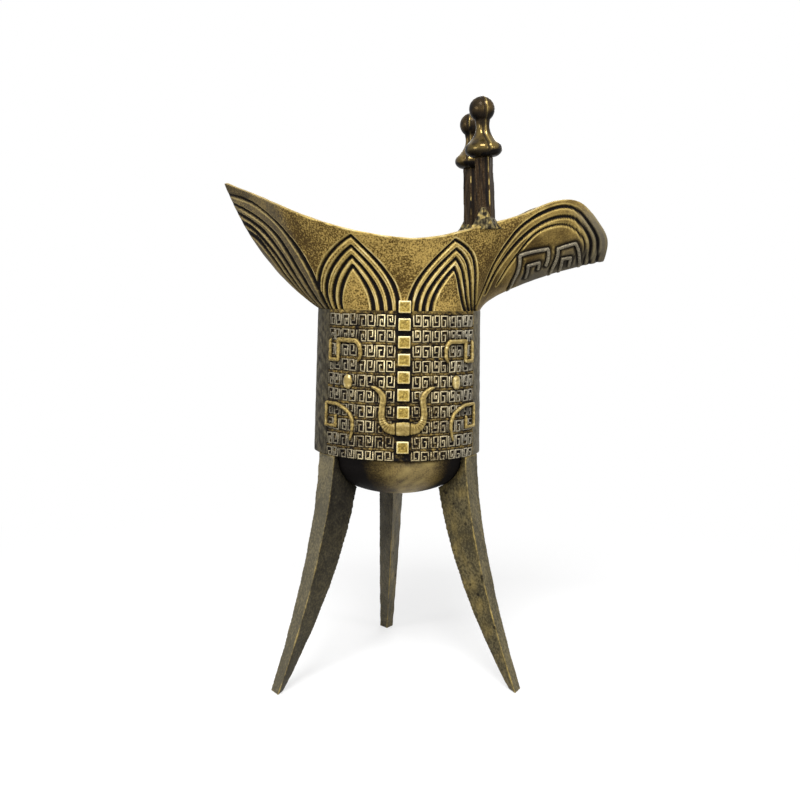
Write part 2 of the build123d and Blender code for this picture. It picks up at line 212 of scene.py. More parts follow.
LOWER_HORN_BENT = (
    (36.2, 6.0, 0.5), (35.2, 7.2, 0.8), (33.9, 10.6, 1.1), (34.6, 13.3, 1.2), (37.6, 15.6, 1.2),
    (43.6, 17.2, 1.2), (48.0, 17.9, 1.2),
)
LOWER_HORN_SQUARE = ((58.4, 17.9, 1.1), (58.4, 10.4, 1.0), (48.3, 10.4, 1.2), (48.3, 14.5, 0.9))
EYE_ANGLE = 38.4
EYE_RISE = 25.6
EYE_WIDTH = 3.5
EYE_HEIGHT = 5.0

# Studs down the middle of the mask, how deep they are sunk into the band, how high the part of them reaches
# that is sunk, and how their faces swell
STUD_SIDE = 4.0 * MM
STUD_PITCH = 5.74 * MM
STUD_STEPS = (0, 1, 2, 3, 4, 5, 6, 8)
STUD_TOP_RISE = 1.4 * MM
STUD_SINK = 0.6 * MM
STUD_SEAT = 0.25 * MM
STUD_SWELL = 0.14 * MM
STUD_CROWN = 0.5
STUD_DENTS = 0.6

# A stud's border, upper edge, face and foot, and how dark and rubbed each part is, the foot's dark being
# painted shade
STUD_BORDER = (0.25 * MM, 0.7 * MM)
STUD_UPPER = (0.6 * MM, 1.7 * MM)
STUD_FACE = (0.5 * MM, 0.9 * MM)
STUD_FOOT = (0.2 * MM, 0.75 * MM)
STUD_FOOT_SHADE = 0.95
STUD_DENT_DARK = 0.3
STUD_SHINE = 0.2
STUD_BORDER_SHINE = 0.56
STUD_UPPER_SHINE = 0.36

# Notches across the lower part of the mask's mouth: depth as a share of the relief, spacing and the rises
# over which they come in, then the cut beside the middle block, the block's rise and its flatness
HATCH_DEPTH = 0.28
HATCH_PITCH = 0.8 * MM
HATCH_ZONE = (15, 12.5)
BLOCK_CUT = 0.5
BLOCK_RISE = 0.12
BLOCK_FLATNESS = 0.75

# Ends of a stroke, sides of the mouth's middle block, the gap beside it as distance and half width, and the
# block's border
STROKE_END = (-0.1 * MM, 0.9 * MM)
BLOCK_SIDE = (0.15 * MM, -0.05 * MM)
BLOCK_GAP = (0.3 * MM, 0.2 * MM)
BLOCK_BORDER = (STUD_SIDE / 2, STUD_SIDE / 2 - 0.2 * MM)
BLOCK_EDGE = (0.8, 0.95)

# Painted shade at the foot of a stroke, its rubbed shoulder with a painted highlight as lean and half width,
# the side towards the spout with its painted highlight, and how much each part shines
RELIEF_FOOT = (0.1, 0.6)
RELIEF_FOOT_SHADE = 0.95
SHOULDER = (0.6, 0.2)
SPOUT_SIDE = (8 * MM, 20 * MM)
MASK_SHINE = 0.24
SPOUT_SIDE_HIGHLIGHT = 0.18
EYE_SHINE = 0.2
MOUTH_SHINE = 0.1
SHOULDER_RUB_AND_HIGHLIGHT = 0.5
BLOCK_EDGE_SHINE = 0.8

# Edges of the plain strips and the spine, in degrees from the middle of a panel, and of the sunk rows
STRIP_EDGE = (FRET_END - 0.3, FRET_END + 0.8)
SPINE_EDGE = (FRET_START - 0.6, FRET_START)
ROW_EDGE = (0.5 * FRET_HEIGHT, 0.5 * FRET_HEIGHT + 0.3 * MM)

# How dark the band's ground is, what the sunk parts add, what the strips take away and get back towards the
# tail as painted shade, how dark the inside and how grey the strips are, and how wide the shade is beside the
# mask
GROUND_DARK = 0.6
SUNK_DARK = 0.35
STRIP_LOSS = 0.5
STRIP_TAIL_SHADE = 0.46
STRIP_TAIL = (-0.3, 0.6)
BAND_BORE_DARK = 0.9
STRIP_GREY = 0.3
GROUND_SHADE = (0.1 * MM, 0.9 * MM)

# Where the left side, the right side and the foot of the band come in on the spirals, the shade beside the
# mask, the painted light in the middle and its loss at the foot, how dark the painted shade on the left side
# is, how dark the feet of both sides are, and how grey
FRET_LEFT = (0.3, 0.8)
FRET_RIGHT = (0.35, 0.8)
FRET_LOW = (24 * MM, 14 * MM)
FRET_SHADE = (0.0, 0.7 * MM)
FRET_SHADE_DARK = 0.8
FRET_RUB_LIMIT = 1.2
FRET_MIDDLE_LIGHT = 0.3
FRET_LOW_LOSS = 0.6
FRET_LEFT_SHADE = 0.3
FRET_LEFT_FOOT_DARK = 0.1
FRET_RIGHT_FOOT_DARK = 0.16
FRET_LEFT_GREY = 0.4
FRET_RIGHT_GREY = 0.6

# Painted shadow on the dome beside each leg: bearing of the leg and how far it spreads, in degrees, and the
# share of that which is darkest
LEG_SHADOWS = ((210, 66), (330, 42), (90, 45))
LEG_SHADOW_CORE = 0.4

# Painted shade under the band, where the inside begins, then how dark the painted shade outside and the
# inside are, how rubbed the inside is, how grey the cup is outside and inside and how smooth it is
UNDER_BAND = (0, 1.5 * MM)
CUP_INSIDE = (-0.2, 0.2)
CUP_SHADE_DARK = 0.95
CUP_INSIDE_DARK = 0.5
CUP_INSIDE_RUB = 0.2
CUP_GREY = 0.28
CUP_INSIDE_GREY = 0.45
CUP_CALM = 0.5

# How dark the handle's dips are, how rubbed it is at least, and how smooth and grey it is
HANDLE_DARK = 0.6
HANDLE_RUB = 0.15
HANDLE_CALM = 0.45
HANDLE_GREY = 0.2

# Wear and painted light of the legs: where a flank starts and where the leg is high, how dark the painted
# shade on the one flank is, what height and unevenness add, how dark the other, painted-lit flank and its
# pits are, dips and mottle, then how rubbed the edges are and how bright the painted light on the flank is
LEG_FLANK = (0.3, 0.7)
LEG_HIGH = (20 * MM, 60 * MM)
SHADED_FLANK_DARK = 0.3
SHADED_FLANK_HIGH_DARK = 0.36
SHADED_FLANK_UNEVEN_DARK = 0.05
LIT_FLANK_DARK = 0.24
LEG_PIT_DARK = 0.5
LEG_PIT = (1.5, 1.8)
LEG_DIP_DARK = 0.5
LEG_MOTTLE_DARK = 0.06
LEG_EDGE_SHINE = 0.6
LIT_FLANK_SHINE = 0.16
LIT_FLANK_UNEVEN_SHINE = 0.07
LEG_MOTTLE_SHINE = 0.07

# Bearing of each leg from the spout, in degrees, and how grey it is
LEG_BEARINGS = {"leg_left": 210, "leg_right": 330, "leg_rear": 90}
LEG_TARNISH = {"leg_left": 0.32, "leg_right": 0.05, "leg_rear": 0.25}

# Turned shape of the post caps in millimetres: radius and height over the post's top
CAP_PROFILE = (
    (0, 0), (3.2, 0), (4.9, 0.5), (5.9, 1.5), (6.15, 2.7), (5.75, 3.9), (4.8, 4.9), (3.7, 6.1), (2.75, 7.6),
    (2.35, 9.0), (2.25, 10.2), (2.4, 11.4),
)
CAP_BALL_RADIUS = 4.25
CAP_BALL_HEIGHT = 15.6
CAP_BALL_START = -53
CAP_COLUMNS = 150

# Mould seam of each cap: its bearing, the raised line and the channel beside it as rise and half width
CAP_SEAMS = {"front": -72, "rear": -108}
SEAM_LINE = (0.16 * MM, 0.26 * MM)
SEAM_CHANNEL = (0.22 * MM, 0.6 * MM)
SEAM_CHANNEL_OFFSET = 0.95 * MM

# Posts: side, height, inset from the rim, height of the foot, and how each leans and is turned, in degrees
POST_SIDE = 4.8 * MM
POST_HEIGHT = 21.9 * MM
POST_INSET = 1.9 * MM
POST_FOOT_HEIGHT = 6 * MM
POST_LEANS = {"front": 3.8, "rear": 2.0}
POST_TURNS = {"front": -27, "rear": 27}

# Wear and painted light of the posts: the face that shows, its stripe of painted shade as distance and half
# width, half width of its bright seam, rubbed and partly a painted highlight, where the seam is broken, where
# the shank starts, how far the foot flares out, its patches, and how dark and rubbed each is
POST_FACE = (POST_SIDE / 2 - 0.3 * MM, POST_SIDE / 2)
POST_SHADE_STRIPE = (1.0 * MM, 0.6 * MM)
POST_SEAM = 0.3 * MM
SEAM_BREAK = (-0.6, 0.6)
POST_SHANK = (4.5 * MM, POST_FOOT_HEIGHT)
FOOT_FLARE = (0.0, 0.3 * MM)
FOOT_START = POST_SIDE / 2 + 0.1 * MM
FOOT_PATCH = (-0.4, 0.9)
STRIPE_SHADE = 0.95
POST_SKIN_DARK = 0.3
STREAK_DARK = 0.4
FOOT_DARK = 0.3
POST_EDGE_SHINE = 0.4
POST_SEAM_SHINE = 0.8
FOOT_SHINE = 0.35

# Caps: undersides and sides by how they face, where the ball starts, the blotches, then how dark dips, the
# painted shade on undersides and sides, ball, blotches and the painted shade in the channel are, how rubbed
# edges and seam, the painted highlight on the bell and metal between the blotches are, how smooth the cap is
CAP_UNDER = (0.3, -0.5)
CAP_SIDES = (0.45, 0.95)
CAP_BALL = (10 * MM, 12 * MM)
CAP_BLOTCH = (-0.2, 0.9)
CAP_DIP_DARK = 0.5
CAP_UNDER_SHADE = 0.8
CAP_SIDES_SHADE = 0.6
CAP_BALL_DARK = 0.4
CAP_BLOTCH_DARK = 0.3
CAP_CHANNEL_SHADE = 0.85
CAP_EDGE_SHINE = 0.3
CAP_SEAM_SHINE = 0.5
CAP_BELL_HIGHLIGHT = 0.13
CAP_METAL_SHINE = 0.09
CAP_CALM = 0.8

# Skin of the pieces that start from their solids: how close points are joined, then for each piece the
# size of its even mesh and the rounds of rounding
WELD = 1e-6
STUD_SKIN = (0.16 * MM, 4)
CUP_SKIN = (0.6 * MM, 3)
HANDLE_SKIN = (0.3 * MM, 5)
LEG_SKIN = (0.24 * MM, 8)
POST_SKIN = (0.2 * MM, 2)

# Edges that are found for the wear: rounds of rounding they are measured against, height of a full edge
MOUTH_EDGES = (2, 0.1 * MM)
HANDLE_EDGES = (6, 0.08 * MM)
LEG_EDGES = (5, 0.07 * MM)
POST_EDGES = (3, 0.06 * MM)
CAP_EDGES = (10, 0.25 * MM)

# Waves of an uneven surface: how many there are, how far their lengths vary, and what divides their sum
WAVE_COUNT = 24
WAVE_STRETCH = (0.6, 1.6)
WAVE_DIVISOR = 5

# Uneven skins, wear and painted highlights: level, spread, length of the waves and seed of their random draw
MOUTH_UNEVEN = (0, 0.05 * MM, 7 * MM, 3)
BAND_UNEVEN = (0, 0.04 * MM, 4 * MM, 5)
MASK_UNEVEN = (0, 0.07 * MM, 1.6 * MM, 21)
LEG_BENDS = (0, 0.07 * MM, 9 * MM, 40)
LEG_RIPPLE = (0, 0.02 * MM, 2.5 * MM, 50)
# Painted sheen on the dome
DOME_SHEEN = (0.3, 0.12, 5 * MM, 8)
MASK_RUB_AND_HIGHLIGHT = (0.55, 0.45, 3 * MM, 22)
FRET_RUB = (0.6, 0.5, 9 * MM, 32)
# Painted highlights along the rim and beside the grooves, in uneven strength
RIM_HIGHLIGHT_BREAKS = (0.7, 0.4, 6 * MM, 34)
GROOVE_GLINT_WAVES = (0.72, 0.2, 5 * MM, 35)
GROUND_STAIN = (0, 0.2, 2.2 * MM, 31)
STRIP_STAIN = (0, 0.17, 2.2 * MM, 33)

# Waves that are used as they are: length and seed
STUD_WAVES = (1.3 * MM, 23)
LEG_RUB = (9 * MM, 70)
LEG_PITS = (4.5 * MM, 80)
LEG_MOTTLE = (2.6 * MM, 90)
POST_STREAKS = (1.1 * MM, 60)
SEAM_BREAKS = (4 * MM, 61)
FOOT_PATCHES = (2.4 * MM, 62)
CAP_BLOTCHES = (4.5 * MM, 63)

# Height of the posts' streaks, and how the stains of the strips, legs and posts are drawn out upward
POST_SWELL = 0.05 * MM
STRIP_STRETCH = (1, 1, 0.6)
LEG_STRETCH = (1, 1, 0.4)
POST_STRETCH = (1, 1, 0.1)

# Zones of the mouth's front: neck angles over which each comes in
SPOUT_ZONE = (52, 30)
LIP_ZONE = (27, 20)
KEEL_ZONE = (20, 6)
TAIL_ZONE = (143, 152)
TIP_ZONE = (150, 174)
DULL_RIM_ZONE = (122, 150)

# Shares of the way to the rim over which the tail's tip, the rim, the lip and the keel come in
TIP_UP = (0.9, 0.99)
RIM_UP = (0.976, 0.992)
LIP_UP = (0.86, 0.94)
KEEL_UP = (0.35, 0.5)

# How dark the spout's panel is, and how much of its painted highlight the rim loses towards the tail
PANEL_DARK = 0.9
RIM_HIGHLIGHT_LOSS = 0.75

# How dark the spout and the tail are, how dark the painted shade at the tail's tip is, how smooth the wall,
# spout and tail, and how grey the spout's edges and the tail
SPOUT_DARK = 0.24
TAIL_DARK = 0.27
TIP_SHADE = 0.35
WALL_CALM = 0.1
SPOUT_CALM = 0.65
TAIL_CALM = 0.3
SPOUT_EDGE_GREY = 0.75
TAIL_GREY = 0.36

# Painted highlight beside a groove as distance and half width, how pale the painted highlight on the rim is,
# how dark a dip is, where the rim starts, how much an edge shines there, and what is added below it
GROOVE_GLINT = (0.35 * MM, 0.25 * MM)
RIM_HIGHLIGHT = 0.75
MOUTH_DIP_DARK = 0.5
RIM_START = 0.97
RIM_EDGE_SHINE = 0.15
WALL_EDGE_SHINE = 0.55

# How dark, rubbed, smooth and grey the rim's crown is, and how much of each the inside has
CROWN_WEAR = (0.0, 0.35, 0.6, 0.15)
BORE_WEAR = 0.45

# Colours that go with those a user sets: grey tarnish, dark patches and dull edges
BODY_GREY = (0.2, 0.185, 0.145)
FRET_GREY = (0.38, 0.36, 0.295)
LEG_GREY = (0.15, 0.14, 0.112)
LEG_DARK = (0.068, 0.056, 0.028)
STUD_DARK = (0.2, 0.13, 0.025)
POST_DARK = (0.03, 0.017, 0.007)
CAP_DARK = (0.03, 0.02, 0.008)
MASK_EDGE = (0.6, 0.5, 0.26)

# Shine that is left on the patina, and the depth of the fine grain in the surface
PATINA_SHINE = 0.04
GRAIN_DEPTH = 0.4 * MM

# Lamps: place, the point each faces, side of its square and power
LAMPS = {
    "key_lamp": ((-0.12, -0.52, 0.72), (0, 0, 0.1), 0.32, 7.6),
    "left_lamp": ((-0.65, -0.42, 0.25), (0, 0, 0.1), 0.3, 2.3),
    "right_lamp": ((0.6, -0.5, 0.3), (0, 0, 0.1), 0.3, 2.2),
    "back_lamp": ((0.2, 0.75, 0.5), (0, 0, 0.12), 0.5, 3.0),
}

# White surroundings: their soft light, then the floor: half its side, how much light it throws back on the
# vessel, how white it looks, the distances over which it fades into the background, the share that it glows
# close by and what far out adds
ROOM_LIGHT = 0.24
FLOOR_HALF = 3
FLOOR_SHADE = 0.2
FLOOR_WHITE = 0.97
FLOOR_FADE = (0.07, 0.3)
FLOOR_GLOW = 0.62
FLOOR_FAR_GLOW = 0.38
WHITE = (1, 1, 1, 1)

# View of the photograph
VIEW_DISTANCE = 378.5 * MM
VIEW_HEIGHT = 137.6 * MM
VIEW_AZIMUTH = -3.6
VIEW_YAW = -0.126
VIEW_PITCH = 6.046
VIEW_ROLL = -0.996
VIEW_LENS = 48.465
VIEW_SENSOR = 36


# Shared shapes

def smooth_step(low, high, value):
    """Return 0 below low, 1 above high and a smooth rise between them."""
    share = np.clip((value - low) / (high - low), 0, 1)
    return share * share * (3 - 2 * share)


def bell(offset, width):
    """Return 1 at no offset, falling off smoothly over the width."""
    return np.exp(-(offset / width) ** 2)


def strongest(*fields):
    """Return the greatest of the fields at each point."""
    return np.maximum.reduce(fields)


def natural_curve(knots, values):
    """Return a function that follows the smoothest curve through the values at the knots."""
    knots = np.asarray(knots, dtype=float)
    values = np.asarray(values, dtype=float)
    steps = np.diff(knots)
    system = np.eye(len(knots))
    target = np.zeros_like(values)
    for i in range(1, len(knots) - 1):
        system[i, i - 1:i + 2] = steps[i - 1], 2 * (steps[i - 1] + steps[i]), steps[i]
        rise = (values[i + 1] - values[i]) / steps[i]
        run_up = (values[i] - values[i - 1]) / steps[i - 1]
        target[i] = 6 * (rise - run_up)
    bends = np.linalg.solve(system, target)

    def at(places):
        places = np.asarray(places, dtype=float)
        left = np.clip(np.searchsorted(knots, places, side="right") - 1, 0, len(steps) - 1)
        step = steps[left][:, None]
        far = (places[:, None] - knots[left][:, None]) / step
        near = 1 - far
        line = near * values[left] + far * values[left + 1]
        bow = (near ** 3 - near) * bends[left] + (far ** 3 - far) * bends[left + 1]
        return line + bow * step ** 2 / 6

    return at


def unit(vectors):
    """Return the vectors with length one."""
    return vectors / np.linalg.norm(vectors, axis=-1, keepdims=True)


def through(points, count=500):
    """Return a smooth run of points through the few given ones."""
    return natural_curve(range(len(points)), points)(np.linspace(0, len(points) - 1, count))


def straight(points, count=90):
    """Return a run of points along straight strokes between the given ones."""
    points = np.asarray(points, dtype=float)
    places = np.linspace(0, len(points) - 1, count * (len(points) - 1))
    return np.stack([np.interp(places, range(len(points)), column) for column in points.T], axis=1)


def miters(lefts):
    """Return how a stroke's side turns at each point, from the left sides of the runs between them."""
    before = np.concatenate((lefts[:1], lefts))
    after = np.concatenate((lefts, lefts[-1:]))
    return (before + after) / (1 + np.sum(before * after, axis=1, keepdims=True))


def settle(points, edges, rounds):
    """Return the points drawn towards their neighbours, as wear rounds a casting."""
    count = len(points)
    degree = np.bincount(edges.ravel(), minlength=count)[:, None]
    for _ in range(rounds):
        total = np.zeros_like(points)
        for axis in range(3):
            total[:, axis] = np.bincount(edges[:, 0], weights=points[edges[:, 1], axis], minlength=count)
            total[:, axis] += np.bincount(edges[:, 1], weights=points[edges[:, 0], axis], minlength=count)
        points = points + 0.5 * (total / degree - points)
    return points


def cast_waves(points, size, seed, piece=0):
    """Return the low uneven waves of a cast skin, about -1 to 1, drawn anew for each numbered piece."""
    random = np.random.default_rng(seed + piece)
    waves = np.zeros(len(points))
    for _ in range(WAVE_COUNT):
        heading = unit(random.normal(size=3)) * 2 * math.pi / size * random.uniform(*WAVE_STRETCH)
        waves += np.sin(points @ heading + random.uniform(0, 2 * math.pi))
    return waves / WAVE_DIVISOR


def varied(points, level, spread, size, seed, piece=0):
    """Return a level that varies over the points in low uneven waves."""
    return level + spread * cast_waves(points, size, seed, piece)


# Meshes

def read_rows(items, name, width, kind=float):
    """Return one value of each item of a mesh as a row of numbers."""
    rows = np.empty(len(items) * width, dtype=kind)
    items.foreach_get(name, rows)
    return rows.reshape(-1, width)


def mesh_points(mesh):
    """Return the mesh's points."""
    return read_rows(mesh.vertices, "co", 3)


def mesh_normals(mesh):
    """Return the mesh's normals at its points."""
    return read_rows(mesh.vertex_normals, "vector", 3)


def set_points(mesh, points):
    """Move the mesh's points."""
    mesh.vertices.foreach_set("co", np.ascontiguousarray(points).ravel())
    mesh.update()


def swell(mesh, points, rises):
    """Move the mesh's points out along their normals by the rises."""
    set_points(mesh, points + mesh_normals(mesh) * rises[:, None])


def set_fields(mesh, **fields):
    """Store patina, wear and painted light for the materials: one value for all points or one for each."""
    for name, values in fields.items():
        field = mesh.attributes.new(name, "FLOAT", "POINT")
        field.data.foreach_set("value", np.broadcast_to(values, len(mesh.vertices)).astype(np.float32))


def rounded(mesh, points, rounds):
    """Return the mesh's points after some rounds of rounding."""
    return settle(points, read_rows(mesh.edges, "vertices", 2, np.int32), rounds)


def mark_wear(mesh, rounds, height):
    """Return how far each point stands out as an edge and how far it lies in a dip, 0 to 1."""
    points = mesh_points(mesh)
    proud = np.sum((points - rounded(mesh, points, rounds)) * mesh_normals(mesh), axis=1) / height
    return np.clip(proud, 0, 1), np.clip(-proud, 0, 1)


def sheet_faces(rows, columns, close_rows, close_columns):
    """Return the four-sided faces of a grid of points, row by row."""
    down = np.arange(rows if close_rows else rows - 1)[:, None]
    along = np.arange(columns if close_columns else columns - 1)[None, :]
    next_down = (down + 1) % rows
    next_along = (along + 1) % columns
    corners = [down * columns + along, down * columns + next_along]
    corners += [next_down * columns + next_along, next_down * columns + along]
    return np.stack(corners, axis=-1).reshape(-1, 4)


def tube_faces(rails, count, start=0):
    """Return the faces of a closed tube along its rails, with both ends capped."""
    faces = (sheet_faces(rails, count, True, False) + start).tolist()
    first = [start + i * count for i in range(rails)]
    return faces + [first, [corner + count - 1 for corner in reversed(first)]]


def join_tubes(tubes):
    """Return the points and faces of several closed tubes, each given as a list of its rails."""
    points, faces = [], []
    start = 0
    for rails in tubes:
        faces += tube_faces(len(rails), len(rails[0]), start)
        points += rails
        start += len(rails) * len(rails[0])
    return np.concatenate(points), faces


def new_mesh(name, points, faces):
    """Return a mesh of the points and faces."""
    mesh = bpy.data.meshes.new(name)
    mesh.from_pydata(np.asarray(points).tolist(), [], [list(face) for face in faces])
    mesh.update()
    return mesh


def outward_mesh(name, points, faces):
    """Return a mesh of closed shapes whose faces all look outward."""
    mesh = new_mesh(name, points, faces)
    shell = bmesh.new()
    shell.from_mesh(mesh)
    bmesh.ops.recalc_face_normals(shell, faces=shell.faces)
    shell.to_mesh(mesh)
    shell.free()
    return mesh


def cast_copy(node, grain, rounds, sink=0.0):
    """Return a solid's mesh with its corners rounded as a casting has them, sunk into the band if asked."""
    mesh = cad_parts[node].data.copy()
    shell = bmesh.new()
    shell.from_mesh(mesh)
    bmesh.ops.remove_doubles(shell, verts=shell.verts, dist=WELD)
    shell.to_mesh(mesh)
    shell.free()
    if sink:
        points = mesh_points(mesh)
        reach = np.hypot(points[:, 0], points[:, 1])
        deep = reach < band_radius(points[:, 2]) + STUD_SEAT
        points[deep, :2] *= (1 - sink / reach[deep])[:, None]
        set_points(mesh, points)
    blank = bpy.data.objects.new(node + "_blank", mesh)
    bpy.context.scene.collection.objects.link(blank)
    remesh = blank.modifiers.new("Even skin", "REMESH")
    remesh.mode = "VOXEL"
    remesh.voxel_size = grain
    whole = blank.evaluated_get(bpy.context.evaluated_depsgraph_get())
    skin = bpy.data.meshes.new_from_object(whole)
    bpy.data.objects.remove(blank)
    bpy.data.meshes.remove(mesh)
    set_points(skin, rounded(skin, mesh_points(skin), rounds))
    return skin


def place_piece(mesh, name, material, nodes):
    """Put a finished mesh in the scene in place of the named solids."""
    mesh.name = name
    mesh.materials.clear()
    mesh.materials.append(material)
    mesh.shade_smooth()
    piece = bpy.data.objects.new(name, mesh)
    bpy.context.scene.collection.objects.link(piece)
    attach(piece, "root")
    if nodes:
        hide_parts(*nodes)
    return piece


# Mouth

def rim_rows():
    """Return the rim's places: neck angle, x, half width, rise, then the pull of the wall's upper guide."""
    spout = SPOUT_HALF_WIDTH
    widening = ROOT_HALF_WIDTH - spout
    depth = LIP - HORN
    height = HORN_RISE - LIP_RISE
    edge = HORN - ROOT
    fall = HORN_RISE - ROOT_RISE
    climb = TAIL_RISE - RIM_RISE
    return (
        (0, LIP, 0, LIP_RISE, -0.435, 0, -0.083),
        (8, LIP, 0.42 * spout, LIP_RISE + 0.18 * height, -0.41, 0, -0.08),
        (14, LIP - 0.05 * depth, 0.68 * spout, LIP_RISE + 0.41 * height, -0.38, 0.003, -0.085),
        (20, LIP - 0.29 * depth, 0.87 * spout, LIP_RISE + 0.68 * height, -0.34, 0.012, -0.095),
        (25, HORN + 0.4 * depth, 0.965 * spout, LIP_RISE + 0.925 * height, -0.31, 0.024, -0.11),
        (31, HORN, spout, HORN_RISE, -0.28, 0.032, -0.13),
        (42, ROOT + 0.57 * edge, spout + 0.25 * widening, ROOT_RISE + 0.54 * fall, -0.235, 0.04, -0.175),
        (ROOT_ANGLE, ROOT, ROOT_HALF_WIDTH, ROOT_RISE, -0.145, 0.035, -0.267),
        (76, 0.4 * ROOT, 0.87 * BOWL, RIM_RISE + 0.17 * (ROOT_RISE - RIM_RISE), 0, -0.06, -0.345),
        (95, -0.04 * TIP, BOWL, RIM_RISE, 0, -0.135, -0.36),
        (115, -0.29 * TIP, 0.994 * BOWL, RIM_RISE + 0.115 * climb, 0.075, -0.17, -0.357),
        (135, -0.534 * TIP, 0.822 * BOWL, RIM_RISE + 0.345 * climb, 0.137, -0.137, -0.366),
        (152, -0.739 * TIP, 0.538 * BOWL, RIM_RISE + 0.628 * climb, 0.153, -0.089, -0.37),
        (167, -0.897 * TIP, 0.237 * BOWL, RIM_RISE + 0.862 * climb, 0.146, -0.038, -0.366),
        (180, -TIP, 0, TAIL_RISE, 0.137, 0, -0.353),
    )


def whole_rim():
    """Return a smooth function of the neck angle for the rim and the pull of the wall, both sides round."""
    half = np.array(rim_rows())
    flip = np.array((-1, 1, -1, 1, 1, -1, 1))
    before = (half[1:] * flip)[::-1]
    after = (half[:-1] * flip)[::-1] + np.array((360, 0, 0, 0, 0, 0, 0))
    rows = np.concatenate((before, half, after))
    return natural_curve(rows[:, 0], rows[:, 1:])


RIM = whole_rim()


def level_round(angles):
    """Return level directions at the neck angles."""
    turn = np.radians(angles)
    return np.stack((np.cos(turn), np.sin(turn), np.zeros_like(turn)), axis=1)


def wall_guides(angles):
    """Return the four guide points of the mouth's outer wall at each neck angle, from neck to rim."""
    rim = RIM(angles)
    out = level_round(angles)
    foot = NECK_RADIUS * out
    length = np.linalg.norm(rim[:, :3] - foot, axis=1)[:, None]
    spout = np.maximum(out[:, :1], 0) ** 2
    tail = np.maximum(-out[:, :1], 0) ** 2
    side = out[:, 1:2] ** 2
    lean = (GUIDE_OUT[0] * spout + GUIDE_OUT[1] * side + GUIDE_OUT[2] * tail) * out
    lean[:, 2:] += GUIDE_UP[0] * spout + GUIDE_UP[1] * side + GUIDE_UP[2] * tail
    return np.stack((foot, foot + lean * length, rim[:, :3] + rim[:, 3:] * length, rim[:, :3]), axis=1)


def bore_guides(angles):
    """Return the guide points of the mouth's inner wall."""
    guides = wall_guides(angles)
    along = wall_guides(angles + 0.01)[:, 3] - wall_guides(angles - 0.01)[:, 3]
    inward = unit(np.cross(along, guides[:, 2] - guides[:, 3]))
    level = inward * (1, 1, 0)
    turn = smooth_step(LIP_ANGLE, ROOT_ANGLE, np.asarray(angles, dtype=float))[:, None]
    level = level / np.sum(level * level, axis=1, keepdims=True)
    guides[:, :2] -= (level_round(angles) * MOUTH_WALL)[:, None]
    guides[:, 2:] += ((inward * (1 - turn) + level * turn) * MOUTH_WALL)[:, None]
    return guides


def wall_points(guides, shares):
    """Return points along each wall curve at the shares of the way from neck to rim."""
    far = np.asarray(shares, dtype=float)[None, :, None]
    near = 1 - far
    foot, low, high, rim = (guides[:, i][:, None] for i in range(4))
    return near ** 3 * foot + 3 * near ** 2 * far * low + 3 * near * far ** 2 * high + far ** 3 * rim


def on_wall(line):
    """Return the places on the outer wall of a line of neck angles and shares."""
    line = np.asarray(line, dtype=float)
    guides = wall_guides(line[:, 0])
    far = line[:, 1:]
    near = 1 - far
    weights = np.stack((near ** 3, 3 * near ** 2 * far, 3 * near * far ** 2, far ** 3), axis=1)
    return np.sum(weights * guides, axis=1)


def leaf_lines(leaf):
    """Return the nested pointed arches of one carved leaf."""
    outer_apex, inner_apex, tail_feet, spout_feet, bends = leaf
    lines = []
    for step in np.linspace(0, 1, LEAF_LINES):
        apex = np.array(outer_apex) * (1 - step) + np.array(inner_apex) * step
        for feet, bend in zip((tail_feet, spout_feet), bends):
            foot = feet[0] * (1 - step) + feet[1] * step
            down = np.linspace(0, 1, 260)
            angles = apex[0] + (foot - apex[0]) * (1 - (1 - down) ** bend)
            lines.append(np.stack((angles, apex[1] * (1 - down)), axis=1))
    return lines


def carved_lines(width):
    """Return the carved lines of the front as places on the wall, with half widths and depths."""
    leaves = leaf_lines(TAIL_LEAF) + leaf_lines(SPOUT_LEAF)
    lips = [through(line) for line in (SPOUT_OUTER, SPOUT_MIDDLE, SPOUT_PANEL)]
    tails = [through(line) for line in TAIL_LINES]
    places = [on_wall(line) for line in leaves + lips + tails]
    halves = [(LEAF_HALF + LEAF_FOOT * (1 - line[:, 1])) * width for line in leaves]
    halves += [np.full(len(line), share * width) for line, share in zip(lips, SPOUT_HALVES)]
    halves += [(TAIL_HALF + TAIL_FOOT * smooth_step(*TAIL_WIDENS, line[:, 1])) * width for line in tails]
    depths = [np.ones(len(line)) for line in leaves]
    depths += [KEEL_DEPTH + (1 - KEEL_DEPTH) * smooth_step(*KEEL_GROOVES, line[:, 0]) for line in lips]
    depths += [1 - TAIL_EDGE_LOSS * smooth_step(*TAIL_EDGE, line[:, 0]) for line in tails]
    return np.concatenate(places), np.concatenate(halves), np.concatenate(depths)


def nearest(places, points):
    """Return the distance from each point to the nearest of the places, and that place's number."""
    tree = kdtree.KDTree(len(places))
    for i, place in enumerate(places):
        tree.insert(place, i)
    tree.balance()
    found = [tree.find(point)[1:] for point in points]
    return np.array([f[1] for f in found]), np.array([f[0] for f in found])


def inside(outline, across, up):
    """Return which of the places lie inside the closed outline."""
    within = np.zeros(across.shape, dtype=bool)
    for (x0, y0), (x1, y1) in zip(outline, np.roll(outline, -1, axis=0)):
        if y0 == y1:
            continue
        crosses = (y0 > up) != (y1 > up)
        within ^= crosses & (across < x0 + (up - y0) / (y1 - y0) * (x1 - x0))
    return within


def even_angles(count):
    """Return neck angles from spout to tail that are evenly spaced along the upper wall."""
    fine = np.linspace(0, 180, 1441)
    ring = wall_points(wall_guides(fine), (0.75,))[:, 0]
    run = np.concatenate(([0], np.cumsum(np.linalg.norm(np.diff(ring, axis=0), axis=1))))
    return np.interp(np.linspace(0, run[-1], count + 1), run, fine)


